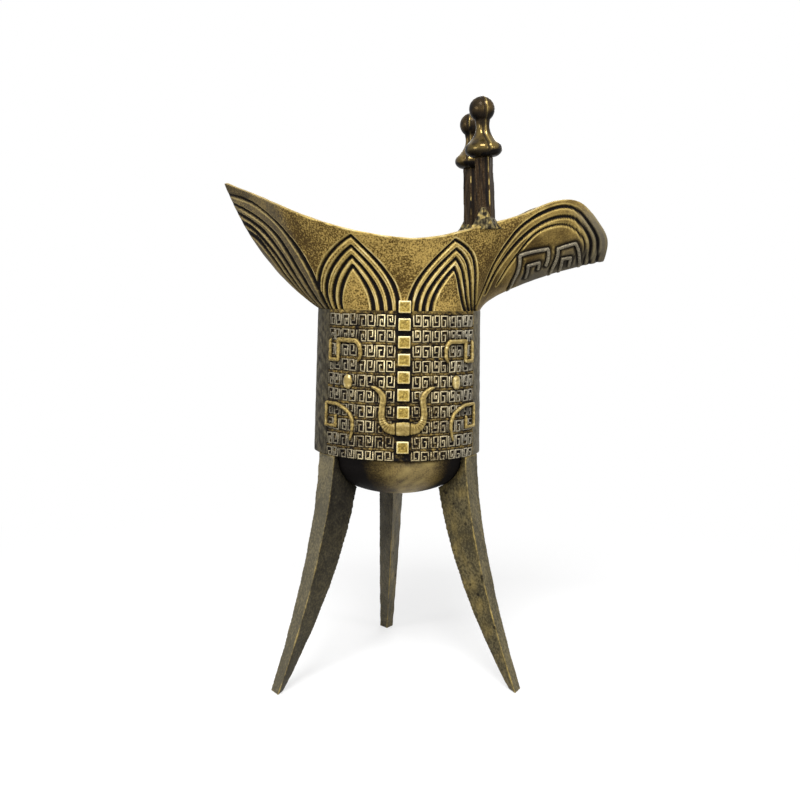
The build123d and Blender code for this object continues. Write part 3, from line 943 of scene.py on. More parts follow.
def sunk_panel(flat, across, up):
    """Return how far each point belongs to the spout's panel, whose ground is sunk round the hooks."""
    panel_line = through(SPOUT_PANEL)
    keel_corner = (SPOUT_PANEL[-1][0], SPOUT_PANEL[0][1])
    outline = np.concatenate((panel_line, (keel_corner,)))
    from_edge, _ = nearest(on_wall(panel_line), flat)
    panel = inside(outline, across, up) * smooth_step(*PANEL_EDGE, from_edge)
    from_hook, _ = nearest(np.concatenate([on_wall(straight(hook)) for hook in HOOKS]), flat)
    return panel * (1 - smooth_step(*BESIDE_HOOKS, from_hook)) * smooth_step(*KEEL_PANEL, across)


def front_wear(flat, across, up, groove, sunk, beside):
    """Return how dark, bright, smooth and grey each point of the mouth's front is."""
    spout = smooth_step(*SPOUT_ZONE, across)
    tail = smooth_step(*TAIL_ZONE, across)
    # Painted shade near the top of the tail's tip
    tip = smooth_step(*TIP_ZONE, across) * smooth_step(*TIP_UP, up)
    dull = SPOUT_DARK * spout + TAIL_DARK * tail + TIP_SHADE * tip
    hollow = strongest(groove, PANEL_DARK * sunk, dull)
    # Painted highlight along the rim, broken up and fading towards the tail
    rim = smooth_step(*RIM_UP, up) * np.clip(varied(flat, *RIM_HIGHLIGHT_BREAKS), 0, 1)
    rim = rim * (1 - RIM_HIGHLIGHT_LOSS * smooth_step(*DULL_RIM_ZONE, across))
    # Painted highlight beside the grooves, in uneven strength
    rubbed = np.clip(varied(flat, *GROOVE_GLINT_WAVES), 0, 1)
    pale = np.maximum(beside * rubbed, RIM_HIGHLIGHT * rim)
    calm = WALL_CALM + SPOUT_CALM * spout + TAIL_CALM * tail
    lip = smooth_step(*LIP_UP, up) * smooth_step(*LIP_ZONE, across)
    keel = smooth_step(*KEEL_ZONE, across) * smooth_step(*KEEL_UP, up)
    tarnish = np.maximum(SPOUT_EDGE_GREY * np.maximum(lip, keel), TAIL_GREY * tail)
    return hollow, pale, calm, tarnish


def carved_front(angles, shares, sizes):
    """Return the carved outer wall of the front, and how dark, bright, smooth and grey each point is."""
    wall = wall_points(wall_guides(angles), shares)
    out = unit(np.cross(np.gradient(wall, axis=0), np.gradient(wall, axis=1)))
    flat = wall.reshape(-1, 3)
    across, up = (grid.ravel() for grid in np.meshgrid(angles, shares, indexing="ij"))
    places, halves, depths = carved_lines(sizes.groove_width)
    distance, number = nearest(places, flat)
    soft = sizes.groove_edge
    groove = 1 - smooth_step(halves[number] - soft, halves[number] + soft, distance)
    beside = bell(distance - halves[number] - GROOVE_GLINT[0], GROOVE_GLINT[1])
    sunk = sunk_panel(flat, across, up)
    depth = sizes.groove_depth * groove * depths[number] + sizes.panel_depth * sunk
    carved = wall - out * depth.reshape(wall.shape[:2])[..., None]
    wear = front_wear(flat, across, up, groove, sunk, beside)
    return carved, [field.reshape(wall.shape[:2]) for field in wear]


def mirrored(front):
    """Return a ring of columns: one side turned to the front, then the same side round the back."""
    face = front.copy()
    if face.ndim == 3:
        face[..., 1] *= -1
    return np.concatenate((face, front[-2:0:-1]))


def build_mouth(sizes):
    """Build the mouth's carved wall, crown and inside as one closed skin."""
    angles = even_angles(sizes.columns)
    shares = np.linspace(0, 1, sizes.rows + 1)
    carved, fields = carved_front(angles, shares, sizes)
    bore = wall_points(bore_guides(angles), np.linspace(1, 0, BORE_ROWS))
    steps = np.array(CROWN_STEPS)[None, :, None]
    crown = carved[:, -1:] * (1 - steps) + bore[:, :1] * steps
    crown[..., 2] += CROWN_RISE * np.sin(steps[..., 0] * math.pi)
    ring = mirrored(np.concatenate((carved, crown, bore), axis=1))
    points = ring.reshape(-1, 3) + (0, 0, NECK)
    mesh = new_mesh("mouth_cast", points, sheet_faces(*ring.shape[:2], True, True))
    swell(mesh, points, varied(points, *MOUTH_UNEVEN))
    wear = []
    for field, on_crown in zip(fields, CROWN_WEAR):
        inner_rows = np.repeat((on_crown, BORE_WEAR), (len(CROWN_STEPS), BORE_ROWS))[None, :]
        whole = np.concatenate((field, np.repeat(inner_rows, len(angles), axis=0)), axis=1)
        wear.append(mirrored(whole).ravel())
    depth, pale, calm, tarnish = wear
    edges, dips = mark_wear(mesh, *MOUTH_EDGES)
    depth = np.maximum(depth, MOUTH_DIP_DARK * dips)
    column = np.concatenate((shares < RIM_START, np.zeros(len(CROWN_STEPS) + BORE_ROWS)))
    below_rim = np.tile(column, len(ring))
    rub = np.maximum(edges * (RIM_EDGE_SHINE + WALL_EDGE_SHINE * below_rim), pale) * (1 - depth)
    set_fields(mesh, hollow=depth, rub=rub, calm=calm, tarnish=tarnish)
    place_piece(mesh, "mouth_cast", body_bronze(), ("mouth",))


def build_hooks(sizes):
    """Build the raised hooks on both sides of the spout."""
    tubes, hollows = [], []
    for hook in HOOKS:
        line = straight(hook, 20)
        middle = on_wall(line) + (0, 0, NECK)
        round_wall = on_wall(line + (0.05, 0)) - on_wall(line - (0.05, 0))
        up_wall = on_wall(line + (0, 0.002)) - on_wall(line - (0, 0.002))
        out = unit(np.cross(round_wall, up_wall))
        miter = miters(unit(np.cross(out[:-1], np.diff(middle, axis=0))))
        for mirror in ((1, -1, 1), (1, 1, 1)):
            rails = []
            for share, rise in HOOK_SECTION:
                rails.append((middle + miter * share * sizes.hook_width + out * rise * MM) * mirror)
                hollows.append(np.full(len(line), HOOK_DARK if rise > 0 else 1.0))
            tubes.append(rails)
    mesh = outward_mesh("spout_hooks", *join_tubes(tubes))
    hollow = np.concatenate(hollows)
    set_fields(mesh, hollow=hollow, rub=HOOK_RUB * (1 - hollow), tarnish=HOOK_GREY)
    place_piece(mesh, "spout_hooks", fret_bronze(), ())


# Band

def band_radius(heights):
    """Return the band's outer radius at the heights."""
    return BAND_FOOT_RADIUS - BAND_FLARE * (heights - BAND_FOOT) / (NECK - BAND_FOOT)


def row_middles():
    """Return the heights of the rows of spirals, from the top down."""
    return NECK - FRET_FIRST - FRET_PITCH * np.arange(FRET_ROWS)


def mitred(points, reach):
    """Return the points of a stroke's side at the given reach to its left."""
    points = np.asarray(points, dtype=float)
    runs = unit(np.diff(points, axis=0))
    return points + miters(np.stack((-runs[:, 1], runs[:, 0]), axis=1)) * reach


def fret_strokes(sizes):
    """Return the squared spirals of one panel: bearing, flat line, line width, relief and shine of each."""
    random = np.random.default_rng(FRET_SEED)
    pitch = (FRET_END - FRET_START) / FRET_UNITS
    across = math.radians(pitch) * NECK_RADIUS - FRET_GAP
    strokes = []
    for middle in row_middles():
        for side in (-1, 1):
            for number in range(FRET_UNITS):
                line = np.array(SPIRAL) - 0.5
                if number % 2:
                    line = -line
                if side < 0:
                    line[:, 0] *= -1
                line = line[:random.integers(FRET_LEAST, len(SPIRAL) + 1)]
                line = line * (across - sizes.fret_width, FRET_HEIGHT - sizes.fret_width)
                line = line + random.normal(0, FRET_WOBBLE, line.shape)
                angle = side * (FRET_START + (number + 0.5) * pitch) + random.normal(0, FRET_TURN)
                line[:, 1] += middle + random.normal(0, FRET_SHIFT)
                width = sizes.fret_width * random.uniform(*FRET_WIDTHS)
                relief = sizes.fret_relief * random.uniform(*FRET_RELIEFS)
                line[:, 1] = np.maximum(line[:, 1], BAND_FOOT + FRET_FOOT)
                strokes.append((angle, line, width, relief, random.uniform(*FRET_SHINES)))
    return strokes


def fret_mesh(sizes):
    """Return all spirals as one mesh, and how rubbed and how dark each point is."""
    tubes, rubs, hollows = [], [], []
    base = -sizes.ground_depth - FRET_ROOT
    for panel in (FRONT, BACK):
        for angle, line, width, relief, shine in fret_strokes(sizes):
            rails = []
            for share, rise in ((0.5, base), (FRET_TOP, relief), (-FRET_TOP, relief), (-0.5, base)):
                side = mitred(line, share * width)
                bearing = np.radians(panel + angle) + side[:, 0] / NECK_RADIUS
                radius = band_radius(side[:, 1]) + rise
                place = (radius * np.cos(bearing), radius * np.sin(bearing), side[:, 1])
                rails.append(np.stack(place, axis=1))
                rubs.append(np.full(len(line), shine if rise > 0 else 0.0))
                hollows.append(np.full(len(line), 0.0 if rise > 0 else 1.0))
            tubes.append(rails)
    return outward_mesh("fret", *join_tubes(tubes)), np.concatenate(rubs), np.concatenate(hollows)


def build_ground(sizes):
    """Build the band: rows sunk for the spirals, a sunk spine for the studs and two plain strips."""
    bearings = np.linspace(0, 360, BAND_COLUMNS, endpoint=False)
    heights = np.linspace(BAND_FOOT, NECK, BAND_ROWS)
    off_centre = np.minimum(np.abs(bearings - BACK), np.abs(bearings - FRONT - 360))
    plain = smooth_step(*STRIP_EDGE, off_centre)[:, None]
    spine = 1 - smooth_step(*SPINE_EDGE, off_centre)[:, None]
    from_row = np.min(np.abs(heights[:, None] - row_middles()), axis=1)[None, :]
    row = 1 - smooth_step(*ROW_EDGE, from_row)
    sunk = np.maximum(row, spine) * (1 - plain)
    out = level_round(bearings)
    radius = band_radius(heights)[None, :] + BAND_PROUD - (sizes.ground_depth + BAND_PROUD) * sunk
    wall = out[:, None, :] * radius[..., None]
    wall[..., 2] = heights
    inner = np.repeat(out[:, None, :] * BAND_BORE, 2, axis=1)
    inner[..., 2] = NECK, BAND_FOOT
    ring = np.concatenate((wall, inner), axis=1)
    points = ring.reshape(-1, 3)
    mesh = new_mesh("band_ground", points, sheet_faces(*ring.shape[:2], True, True)[:, ::-1])
    swell(mesh, points, varied(points, *BAND_UNEVEN))
    # The strips get painted shade towards the tail side
    strip = plain * (STRIP_TAIL_SHADE * smooth_step(*STRIP_TAIL, -out[:, :1]) - STRIP_LOSS)
    outer = GROUND_DARK + strip + SUNK_DARK * sunk
    depth = np.concatenate((outer, np.full((len(out), 2), BAND_BORE_DARK)), axis=1)
    shade = 1 - smooth_step(*GROUND_SHADE, beside_mask(points))
    on_strip = np.repeat(plain[:, 0], ring.shape[1])
    stain = varied(points, *GROUND_STAIN) * (1 - on_strip)
    stain += varied(points * STRIP_STRETCH, *STRIP_STAIN) * on_strip
    hollow = np.clip(np.maximum(depth.ravel() + stain, shade), 0, 1)
    set_fields(mesh, hollow=hollow, tarnish=STRIP_GREY * on_strip)
    piece = place_piece(mesh, "band_ground", body_bronze(), ("ornament_band",))
    piece.data.materials.append(leg_bronze())
    piece.data.polygons.foreach_set("material_index", (on_strip > 0.5).astype(np.int32))


def build_fret(sizes):
    """Build the spirals: painted light in the middle, painted shade on the left, greyer sides, darker foot.
    """
    mesh, rub, depth = fret_mesh(sizes)
    points = mesh_points(mesh)
    shade = 1 - smooth_step(*FRET_SHADE, beside_mask(points))
    wear_and_sheen = np.clip(varied(points, *FRET_RUB), 0, FRET_RUB_LIMIT)
    left = smooth_step(*FRET_LEFT, -points[:, 0] / NECK_RADIUS)
    right = smooth_step(*FRET_RIGHT, points[:, 0] / NECK_RADIUS)
    low = smooth_step(*FRET_LOW, points[:, 2] - BAND_FOOT)
    # Painted light in the middle of the panel and painted shade on the left side, darker towards the foot
    middle_light = FRET_MIDDLE_LIGHT * (1 - left) * (1 - right) * (1 - FRET_LOW_LOSS * low)
    dim = left * (FRET_LEFT_SHADE + FRET_LEFT_FOOT_DARK * low) + FRET_RIGHT_FOOT_DARK * right * low
    hollow = strongest(depth, dim, FRET_SHADE_DARK * shade)
    grey = FRET_LEFT_GREY * left + FRET_RIGHT_GREY * right
    set_fields(mesh, hollow=hollow, rub=(rub * wear_and_sheen + middle_light) * (1 - shade), tarnish=grey)
    place_piece(mesh, "fret_lines", fret_bronze(), ())


# Mask and studs

def stroke_runs(node):
    """Return the strokes of one relief piece as dense runs of angle, rise and width."""
    if node.endswith("mouth"):
        half = through(MOUTH_BENT, 340)
        return [np.concatenate((half, half[-2::-1] * (-1, 1, 1)))]
    if node.endswith("eyes"):
        turn = np.linspace(-1.5, 1.5, 60)
        rises = EYE_RISE + EYE_HEIGHT / 2 * np.sin(turn)
        run = np.stack((np.full(len(turn), EYE_ANGLE), rises, EYE_WIDTH * np.cos(turn)), axis=1)
    elif node.endswith("upper_horns"):
        run = horn_run(UPPER_HORN_BENT, 160, UPPER_HORN_SQUARE)
    else:
        run = horn_run(LOWER_HORN_BENT, 220, LOWER_HORN_SQUARE)
    return [run, run * (-1, 1, 1)]


def horn_run(bent, count, square):
    """Return a horn's run, first bent and then along square corners."""
    return np.concatenate((through(bent, count), straight(bent[-1:] + square, 50)[1:]))


def on_band(bearing, flat, out):
    """Return places on the band from level runs off a bearing, heights and how far they stand out."""
    turn = math.radians(bearing) + flat[..., 0] / NECK_RADIUS
    height = BAND_FOOT + flat[..., 1]
    radius = band_radius(height) + out
    return np.stack((radius * np.cos(turn), radius * np.sin(turn), height), axis=-1)


def flattened(run):
    """Return a stroke's run as lengths along and up the band."""
    return run[:, :2] * (math.radians(NECK_RADIUS), MM)


def relief_nodes():
    """Return the names of the mask's solids with the bearing of the panel that each lies on."""
    names = [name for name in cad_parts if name.startswith(("mask_", "rear_"))]
    return [(name, FRONT if name.startswith("mask_") else BACK) for name in names]


def beside_mask(points):
    """Return how far each point is from the edge of the nearest stroke."""
    places, halves = [], []
    for node, bearing in relief_nodes():
        for run in stroke_runs(node):
            places.append(on_band(bearing, flattened(run), 0.0))
            halves.append(run[:, 2] / 2 * MM)
    distance, number = nearest(np.concatenate(places), points)
    return distance - np.concatenate(halves)[number]


def stroke_swell(run, flat, notched):
    """Return how high a stroke stands along its run, and where it is the mouth's flat middle block."""
    gone = np.concatenate(([0], np.cumsum(np.linalg.norm(np.diff(flat, axis=0), axis=1))))
    to_end = np.minimum(gone, gone[-1] - gone)
    height = np.sqrt(smooth_step(*STROKE_END, to_end))
    if not notched:
        return height, np.zeros(len(run))
    low = smooth_step(*HATCH_ZONE, run[:, 1])
    off_middle = np.abs(flat[:, 0]) - STUD_SIDE / 2
    block = smooth_step(*BLOCK_SIDE, off_middle)
    cut = BLOCK_CUT * bell(off_middle - BLOCK_GAP[0], BLOCK_GAP[1])
    hatch = HATCH_DEPTH * low * (1 - block) * (0.5 + 0.5 * np.sin(2 * math.pi * gone / HATCH_PITCH))
    return height - hatch - cut + BLOCK_RISE * block, block


def relief_rails(run, bearing, notched):
    """Return the rails of a rounded ridge along a stroke, with each point's height and lean as shares."""
    flat = flattened(run)
    tops, block = stroke_swell(run, flat, notched)
    lean = np.radians(np.linspace(-90, 90, RIDGE_RAILS))
    section = [(-1.0, None), *zip(np.sin(lean), np.cos(lean) ** RIDGE_FULLNESS), (1.0, None)]
    rails, heights, leans = [], [], []
    for share, height in section:
        side = mitred(flat, (share * run[:, 2] / 2 * MM)[:, None])
        level = np.zeros(len(run)) if height is None else tops * height ** (1 - BLOCK_FLATNESS * block)
        out = level * MASK_RELIEF - (MASK_ROOT if height is None else 0.0)
        rails.append(on_band(bearing, side, out))
        heights.append(level)
        leans.append(np.full(len(run), abs(share)))
    return rails, heights, leans


def build_relief(node, bearing):
    """Build one piece of the mask, with painted shade at its feet and rubbed shoulders with a painted
    highlight.
    """
    tubes, heights, leans = [], [], []
    for run in stroke_runs(node):
        rails, height, lean = relief_rails(run, bearing, node.endswith("mouth"))
        tubes.append(rails)
        heights += height
        leans += lean
    mesh = outward_mesh(node, *join_tubes(tubes))
    lean = np.concatenate(leans)
    points = mesh_points(mesh)
    swell(mesh, points, varied(points, *MASK_UNEVEN))
    # Painted shade at the foot of each stroke
    low = 1 - smooth_step(*RELIEF_FOOT, np.concatenate(heights))
    # Rubbed shoulders with a painted highlight, and a painted highlight on the side towards the spout
    shoulder = bell(lean - SHOULDER[0], SHOULDER[1]) * varied(points, *MASK_RUB_AND_HIGHLIGHT)
    pale = MASK_SHINE + SPOUT_SIDE_HIGHLIGHT * smooth_step(*SPOUT_SIDE, points[:, 0])
    pale = pale + EYE_SHINE * node.endswith("eyes") + MOUTH_SHINE * node.endswith("mouth")
    block_edge = smooth_step(*BLOCK_EDGE, lean) * smooth_step(*BLOCK_BORDER, np.abs(points[:, 0]))
    rub = np.maximum(pale + SHOULDER_RUB_AND_HIGHLIGHT * shoulder, BLOCK_EDGE_SHINE * block_edge) * (1 - low)
    set_fields(mesh, hollow=RELIEF_FOOT_SHADE * low, rub=rub)
    place_piece(mesh, node + "_cast", mask_bronze(), (node,))


def build_studs():
    """Build the column of studs, each with an uneven middle, a rubbed border and painted shade at its foot.
    """
    mesh = cast_copy("stud_column", *STUD_SKIN, STUD_SINK)
    points = mesh_points(mesh)
    rise = np.hypot(points[:, 0], points[:, 1]) - band_radius(np.minimum(points[:, 2], NECK))
    middles = NECK + STUD_TOP_RISE - STUD_PITCH * np.array(STUD_STEPS)
    own = middles[np.argmin(np.abs(points[:, 2:] - middles), axis=1)]
    to_edge = STUD_SIDE / 2 - np.maximum(np.abs(points[:, 0]), np.abs(points[:, 2] - own))
    middle = smooth_step(*STUD_BORDER, to_edge)
    upper = smooth_step(*STUD_UPPER, points[:, 2] - own)
    waves = cast_waves(points, *STUD_WAVES)
    face = smooth_step(*STUD_FACE, rise)
    points[:, 1] += STUD_SWELL * middle * (STUD_CROWN + STUD_DENTS * waves) * face
    set_points(mesh, points)
    # Painted shade at the foot of each stud
    low = 1 - smooth_step(*STUD_FOOT, rise)
    hollow = np.maximum(STUD_FOOT_SHADE * low, STUD_DENT_DARK * middle * np.clip(waves, 0, 1))
    border = (STUD_BORDER_SHINE + STUD_UPPER_SHINE * upper) * (1 - middle)
    set_fields(mesh, hollow=hollow, rub=(1 - low) * (STUD_SHINE + border))
    place_piece(mesh, "stud_column_cast", stud_bronze(), ("stud_column",))


# Cup, handle and legs

def build_cup():
    """Build the cup, with painted shade under the band and beside the legs, a painted sheen, dull inside."""
    mesh = cast_copy("cup", *CUP_SKIN)
    points = mesh_points(mesh)
    bearing = np.degrees(np.arctan2(points[:, 1], points[:, 0]))
    # Painted shade under the band, and painted shadows of the legs on the dome
    painted_shade = 1 - smooth_step(*UNDER_BAND, BAND_FOOT - points[:, 2])
    for leg, spread in LEG_SHADOWS:
        away = np.abs((bearing - leg + 180) % 360 - 180)
        painted_shade = np.maximum(painted_shade, 1 - smooth_step(LEG_SHADOW_CORE * spread, spread, away))
    normals = mesh_normals(mesh)
    outward = np.sum(normals[:, :2] * unit(points[:, :2]), axis=1)
    inner = smooth_step(*CUP_INSIDE, normals[:, 2] - outward)
    outer = 1 - inner
    hollow = CUP_SHADE_DARK * painted_shade * outer + CUP_INSIDE_DARK * inner
    # Painted sheen on the dome outside the painted shade, and a dull inside
    rub = varied(points, *DOME_SHEEN) * (1 - painted_shade) * outer + CUP_INSIDE_RUB * inner
    tarnish = CUP_GREY * (1 - painted_shade) * outer + CUP_INSIDE_GREY * inner
    set_fields(mesh, hollow=hollow, rub=rub, calm=CUP_CALM, tarnish=tarnish)
    place_piece(mesh, "cup_cast", body_bronze(), ("cup",))


def build_handle():
    """Build the handle, rubbed on its edges."""
    mesh = cast_copy("handle", *HANDLE_SKIN)
    edges, dips = mark_wear(mesh, *HANDLE_EDGES)
    rub = np.maximum(edges, HANDLE_RUB)
    set_fields(mesh, hollow=HANDLE_DARK * dips, rub=rub, calm=HANDLE_CALM, tarnish=HANDLE_GREY)
    place_piece(mesh, "handle_cast", body_bronze(), ("handle",))


def build_leg(number, node, bearing):
    """Build one blade leg, with painted shade on one flank, painted light on the other and small pits."""
    mesh = cast_copy(node, *LEG_SKIN)
    points = mesh_points(mesh)
    swell(mesh, points, varied(points, *LEG_BENDS, number) + varied(points, *LEG_RIPPLE, number))
    edges, dips = mark_wear(mesh, *LEG_EDGES)
    turn = math.radians(bearing)
    sideways = mesh_normals(mesh) @ (-math.sin(turn), math.cos(turn), 0)
    uneven = cast_waves(points, *LEG_RUB, number)
    high = smooth_step(*LEG_HIGH, points[:, 2])
    # Painted shade on the one flank, deeper higher up
    dark = SHADED_FLANK_DARK + SHADED_FLANK_HIGH_DARK * high + SHADED_FLANK_UNEVEN_DARK * uneven
    dark = smooth_step(*LEG_FLANK, sideways) * dark
    pits = LIT_FLANK_DARK + LEG_PIT_DARK * smooth_step(*LEG_PIT, cast_waves(points, *LEG_PITS, number))
    # Painted light on the other flank, which also gets pits
    bright = smooth_step(*LEG_FLANK, -sideways)
    mottle = cast_waves(points * LEG_STRETCH, *LEG_MOTTLE, number)
    stain = strongest(LEG_DIP_DARK * dips, dark, bright * pits) + LEG_MOTTLE_DARK * np.clip(mottle, 0, 2)
    wear_and_sheen = (LIT_FLANK_SHINE + LIT_FLANK_UNEVEN_SHINE * uneven) * bright + LEG_MOTTLE_SHINE * np.clip(-mottle, 0, 1)
    rub = np.maximum(LEG_EDGE_SHINE * edges, wear_and_sheen)
    set_fields(mesh, hollow=np.clip(stain, 0, 1), rub=rub, tarnish=LEG_TARNISH[node])
    place_piece(mesh, node + "_cast", leg_bronze(), (node,))


# Posts and caps

def post_axes(side):
    """Return a post's foot on the rim at the root of the spout, and its three leaning axes."""
    angle = np.array((ROOT_ANGLE,))
    outer = wall_guides(angle)[0, 3]
    seat = outer + unit(bore_guides(angle)[0, 3] - outer) * POST_INSET
    lean = math.radians(POST_LEANS[side])
    along = np.array((-math.sin(lean), 0, math.cos(lean)))
    foot = np.array((seat[0], seat[1] * (1 if side == "rear" else -1), NECK + outer[2]))
    return foot, np.array((along[2], 0, -along[0])), np.array((0, 1, 0)), along


def along_post(points, side):
    """Return the points in a post's own axes: its two sides and its length."""
    foot, across, back, along = post_axes(side)
    turn = math.radians(POST_TURNS[side])
    wide = across * math.cos(turn) + back * math.sin(turn)
    deep = back * math.cos(turn) - across * math.sin(turn)
    return (points - foot) @ np.stack((wide, deep, along), axis=1)


def paint_foot(piece, side):
    """Give a post's pointed foot the legs' olive bronze."""
    mesh = piece.data
    mesh.materials.append(leg_bronze())
    place = along_post(read_rows(mesh.polygons, "center", 3), side)
    outside = np.max(np.abs(place[:, :2]), axis=1) > FOOT_START
    on_foot = outside & (place[:, 2] < POST_FOOT_HEIGHT)
    mesh.polygons.foreach_set("material_index", on_foot.astype(np.int32))


def build_post(side):
    """Build one post, streaked along its length, with painted shade beside a broken bright seam and a patchy
    foot.
    """
    node = "post_" + side
    mesh = cast_copy(node, *POST_SKIN)
    points = mesh_points(mesh)
    place = along_post(points, side)
    streaks = cast_waves(place * POST_STRETCH, *POST_STREAKS)
    swell(mesh, points, streaks * POST_SWELL)
    edges, _ = mark_wear(mesh, *POST_EDGES)
    from_seam = POST_SIDE / 2 - place[:, 0] * (1 if side == "front" else -1)
    facing = smooth_step(*POST_FACE, -place[:, 1])
    # A stripe of painted shade beside the seam, on the face that shows
    stripe = facing * bell(from_seam - POST_SHADE_STRIPE[0], POST_SHADE_STRIPE[1])
    broken = smooth_step(*SEAM_BREAK, cast_waves(points, *SEAM_BREAKS))
    shank = smooth_step(*POST_SHANK, place[:, 2])
    # Bright seam, rubbed and partly a painted highlight, on the face that shows
    seam = facing * bell(from_seam, POST_SEAM) * broken * shank
    past_side = np.max(np.abs(place[:, :2]), axis=1) - POST_SIDE / 2
    flare = smooth_step(*FOOT_FLARE, past_side) * (1 - shank)
    patchy = smooth_step(*FOOT_PATCH, cast_waves(points, *FOOT_PATCHES))
    skin = POST_SKIN_DARK + STREAK_DARK * streaks + FOOT_DARK * flare * (1 - patchy)
    hollow = np.clip(np.maximum(STRIPE_SHADE * stripe * shank, skin), 0, 1) * (1 - seam)
    rub = strongest(POST_EDGE_SHINE * edges, POST_SEAM_SHINE * seam, FOOT_SHINE * flare * patchy)
    set_fields(mesh, hollow=hollow, rub=rub)
    piece = place_piece(mesh, node + "_cast", post_bronze(), (node,))
    paint_foot(piece, side)


def cap_mesh(side):
    """Return a turned cap with its mould seam, and how far each point is on the seam and in its channel."""
    foot, across, back, along = post_axes(side)
    climb = np.linspace(math.radians(CAP_BALL_START), math.pi / 2 - 0.01, 34)
    ball = np.stack((np.cos(climb), np.sin(climb)), axis=1) * CAP_BALL_RADIUS + (0, CAP_BALL_HEIGHT)
    profile = np.concatenate((through(CAP_PROFILE, 56)[1:], ball)) * MM
    bearings = np.linspace(0, 360, CAP_COLUMNS, endpoint=False)
    away = np.radians((bearings - CAP_SEAMS[side] + 180) % 360 - 180)[:, None] * profile[None, :, 0]
    seam = bell(away, SEAM_LINE[1])
    channel = bell(away + SEAM_CHANNEL_OFFSET, SEAM_CHANNEL[1])
    reach = profile[None, :, 0] + SEAM_LINE[0] * seam - SEAM_CHANNEL[0] * channel
    turn = np.radians(bearings)[:, None]
    height = POST_HEIGHT + profile[None, :, 1, None]
    points = foot + (reach * np.cos(turn))[..., None] * across + (reach * np.sin(turn))[..., None] * back
    points = points + height * along
    mesh = outward_mesh("cap", points.reshape(-1, 3), tube_faces(*reach.shape))
    return mesh, seam.ravel(), channel.ravel()


def build_cap(side):
    """Build one cap, blotched brown and gold, with a bright seam, a darker ball, painted shade and a painted
    highlight.
    """
    mesh, seam, channel = cap_mesh(side)
    points = mesh_points(mesh)
    normals = mesh_normals(mesh)
    edges, dips = mark_wear(mesh, *CAP_EDGES)
    # Painted shade on the undersides and on the sides that face left and right
    under = smooth_step(*CAP_UNDER, normals[:, 2])
    sides = smooth_step(*CAP_SIDES, np.abs(normals[:, 0]))
    ball = smooth_step(*CAP_BALL, along_post(points, side)[:, 2] - POST_HEIGHT)
    blotch = smooth_step(*CAP_BLOTCH, cast_waves(points, *CAP_BLOTCHES))
    turned = np.maximum(CAP_UNDER_SHADE * under, CAP_SIDES_SHADE * sides)
    stain = strongest(CAP_DIP_DARK * dips, turned, CAP_BALL_DARK * ball) + CAP_BLOTCH_DARK * blotch
    # Painted shade in the channel beside the seam
    hollow = np.clip(np.maximum(CAP_CHANNEL_SHADE * channel, stain), 0, 1)
    # Painted highlight on the bell, and paler metal between the blotches
    bright = CAP_BELL_HIGHLIGHT * (1 - ball) + CAP_METAL_SHINE * (1 - blotch)
    rub = strongest(CAP_EDGE_SHINE * edges, CAP_SEAM_SHINE * seam, bright)
    set_fields(mesh, hollow=hollow, rub=rub, calm=CAP_CALM)
    place_piece(mesh, "cap_" + side + "_cast", cap_bronze(), ("cap_" + side,))


# Materials

def put(tree, kind, inputs=None, **settings):
    """Add a node and set or link its inputs."""
    made = tree.nodes.new(kind)
    for key, value in settings.items():
        setattr(made, key, value)
    for key, value in (inputs or {}).items():
        if isinstance(value, bpy.types.NodeSocket):
            tree.links.new(value, made.inputs[key])
        else:
            made.inputs[key].default_value = value
    return made


def maths(tree, operation, first, second=0.0, clamp=False):
    """Return the result of one sum."""
    made = put(tree, "ShaderNodeMath", {0: first, 1: second}, operation=operation, use_clamp=clamp)
    return made.outputs[0]


def weighted(tree, base, *terms):
    """Return the base plus each value times its share."""
    total = base
    for value, share in terms:
        total = maths(tree, "ADD", total, maths(tree, "MULTIPLY", value, share))
    return total


def blend(tree, share, first, second):
    """Return a mix of two colours."""
    return put(tree, "ShaderNodeMix", {0: share, 6: first, 7: second}, data_type="RGBA").outputs[2]


def ramp(tree, value, low, high):
    """Return the value stretched so that low is 0 and high is 1."""
    stretch = {0: value, 1: low, 2: high}
    return put(tree, "ShaderNodeMapRange", stretch, interpolation_type="SMOOTHSTEP").outputs[0]


def noise(tree, place, scale, detail, roughness):
    """Return noise of the given scale."""
    inputs = {"Vector": place, "Scale": scale, "Detail": detail, "Roughness": roughness}
    return put(tree, "ShaderNodeTexNoise", inputs).outputs["Fac"]


def new_group(name, inputs, outputs):
    """Return an empty node group with its inputs and outputs, and its two end nodes."""
    tree = bpy.data.node_groups.new(name, "ShaderNodeTree")
    for label, kind, default in inputs:
        socket = tree.interface.new_socket(label, in_out="INPUT", socket_type=kind)
        socket.default_value = default
    for label, kind in outputs:
        tree.interface.new_socket(label, in_out="OUTPUT", socket_type=kind)
    return tree, tree.nodes.new("NodeGroupInput").outputs, tree.nodes.new("NodeGroupOutput")


def finish_group(tree, end, results):
    """Link the results to the group's outputs."""
    for label, value in results.items():
        tree.links.new(value, end.inputs[label])
    return tree


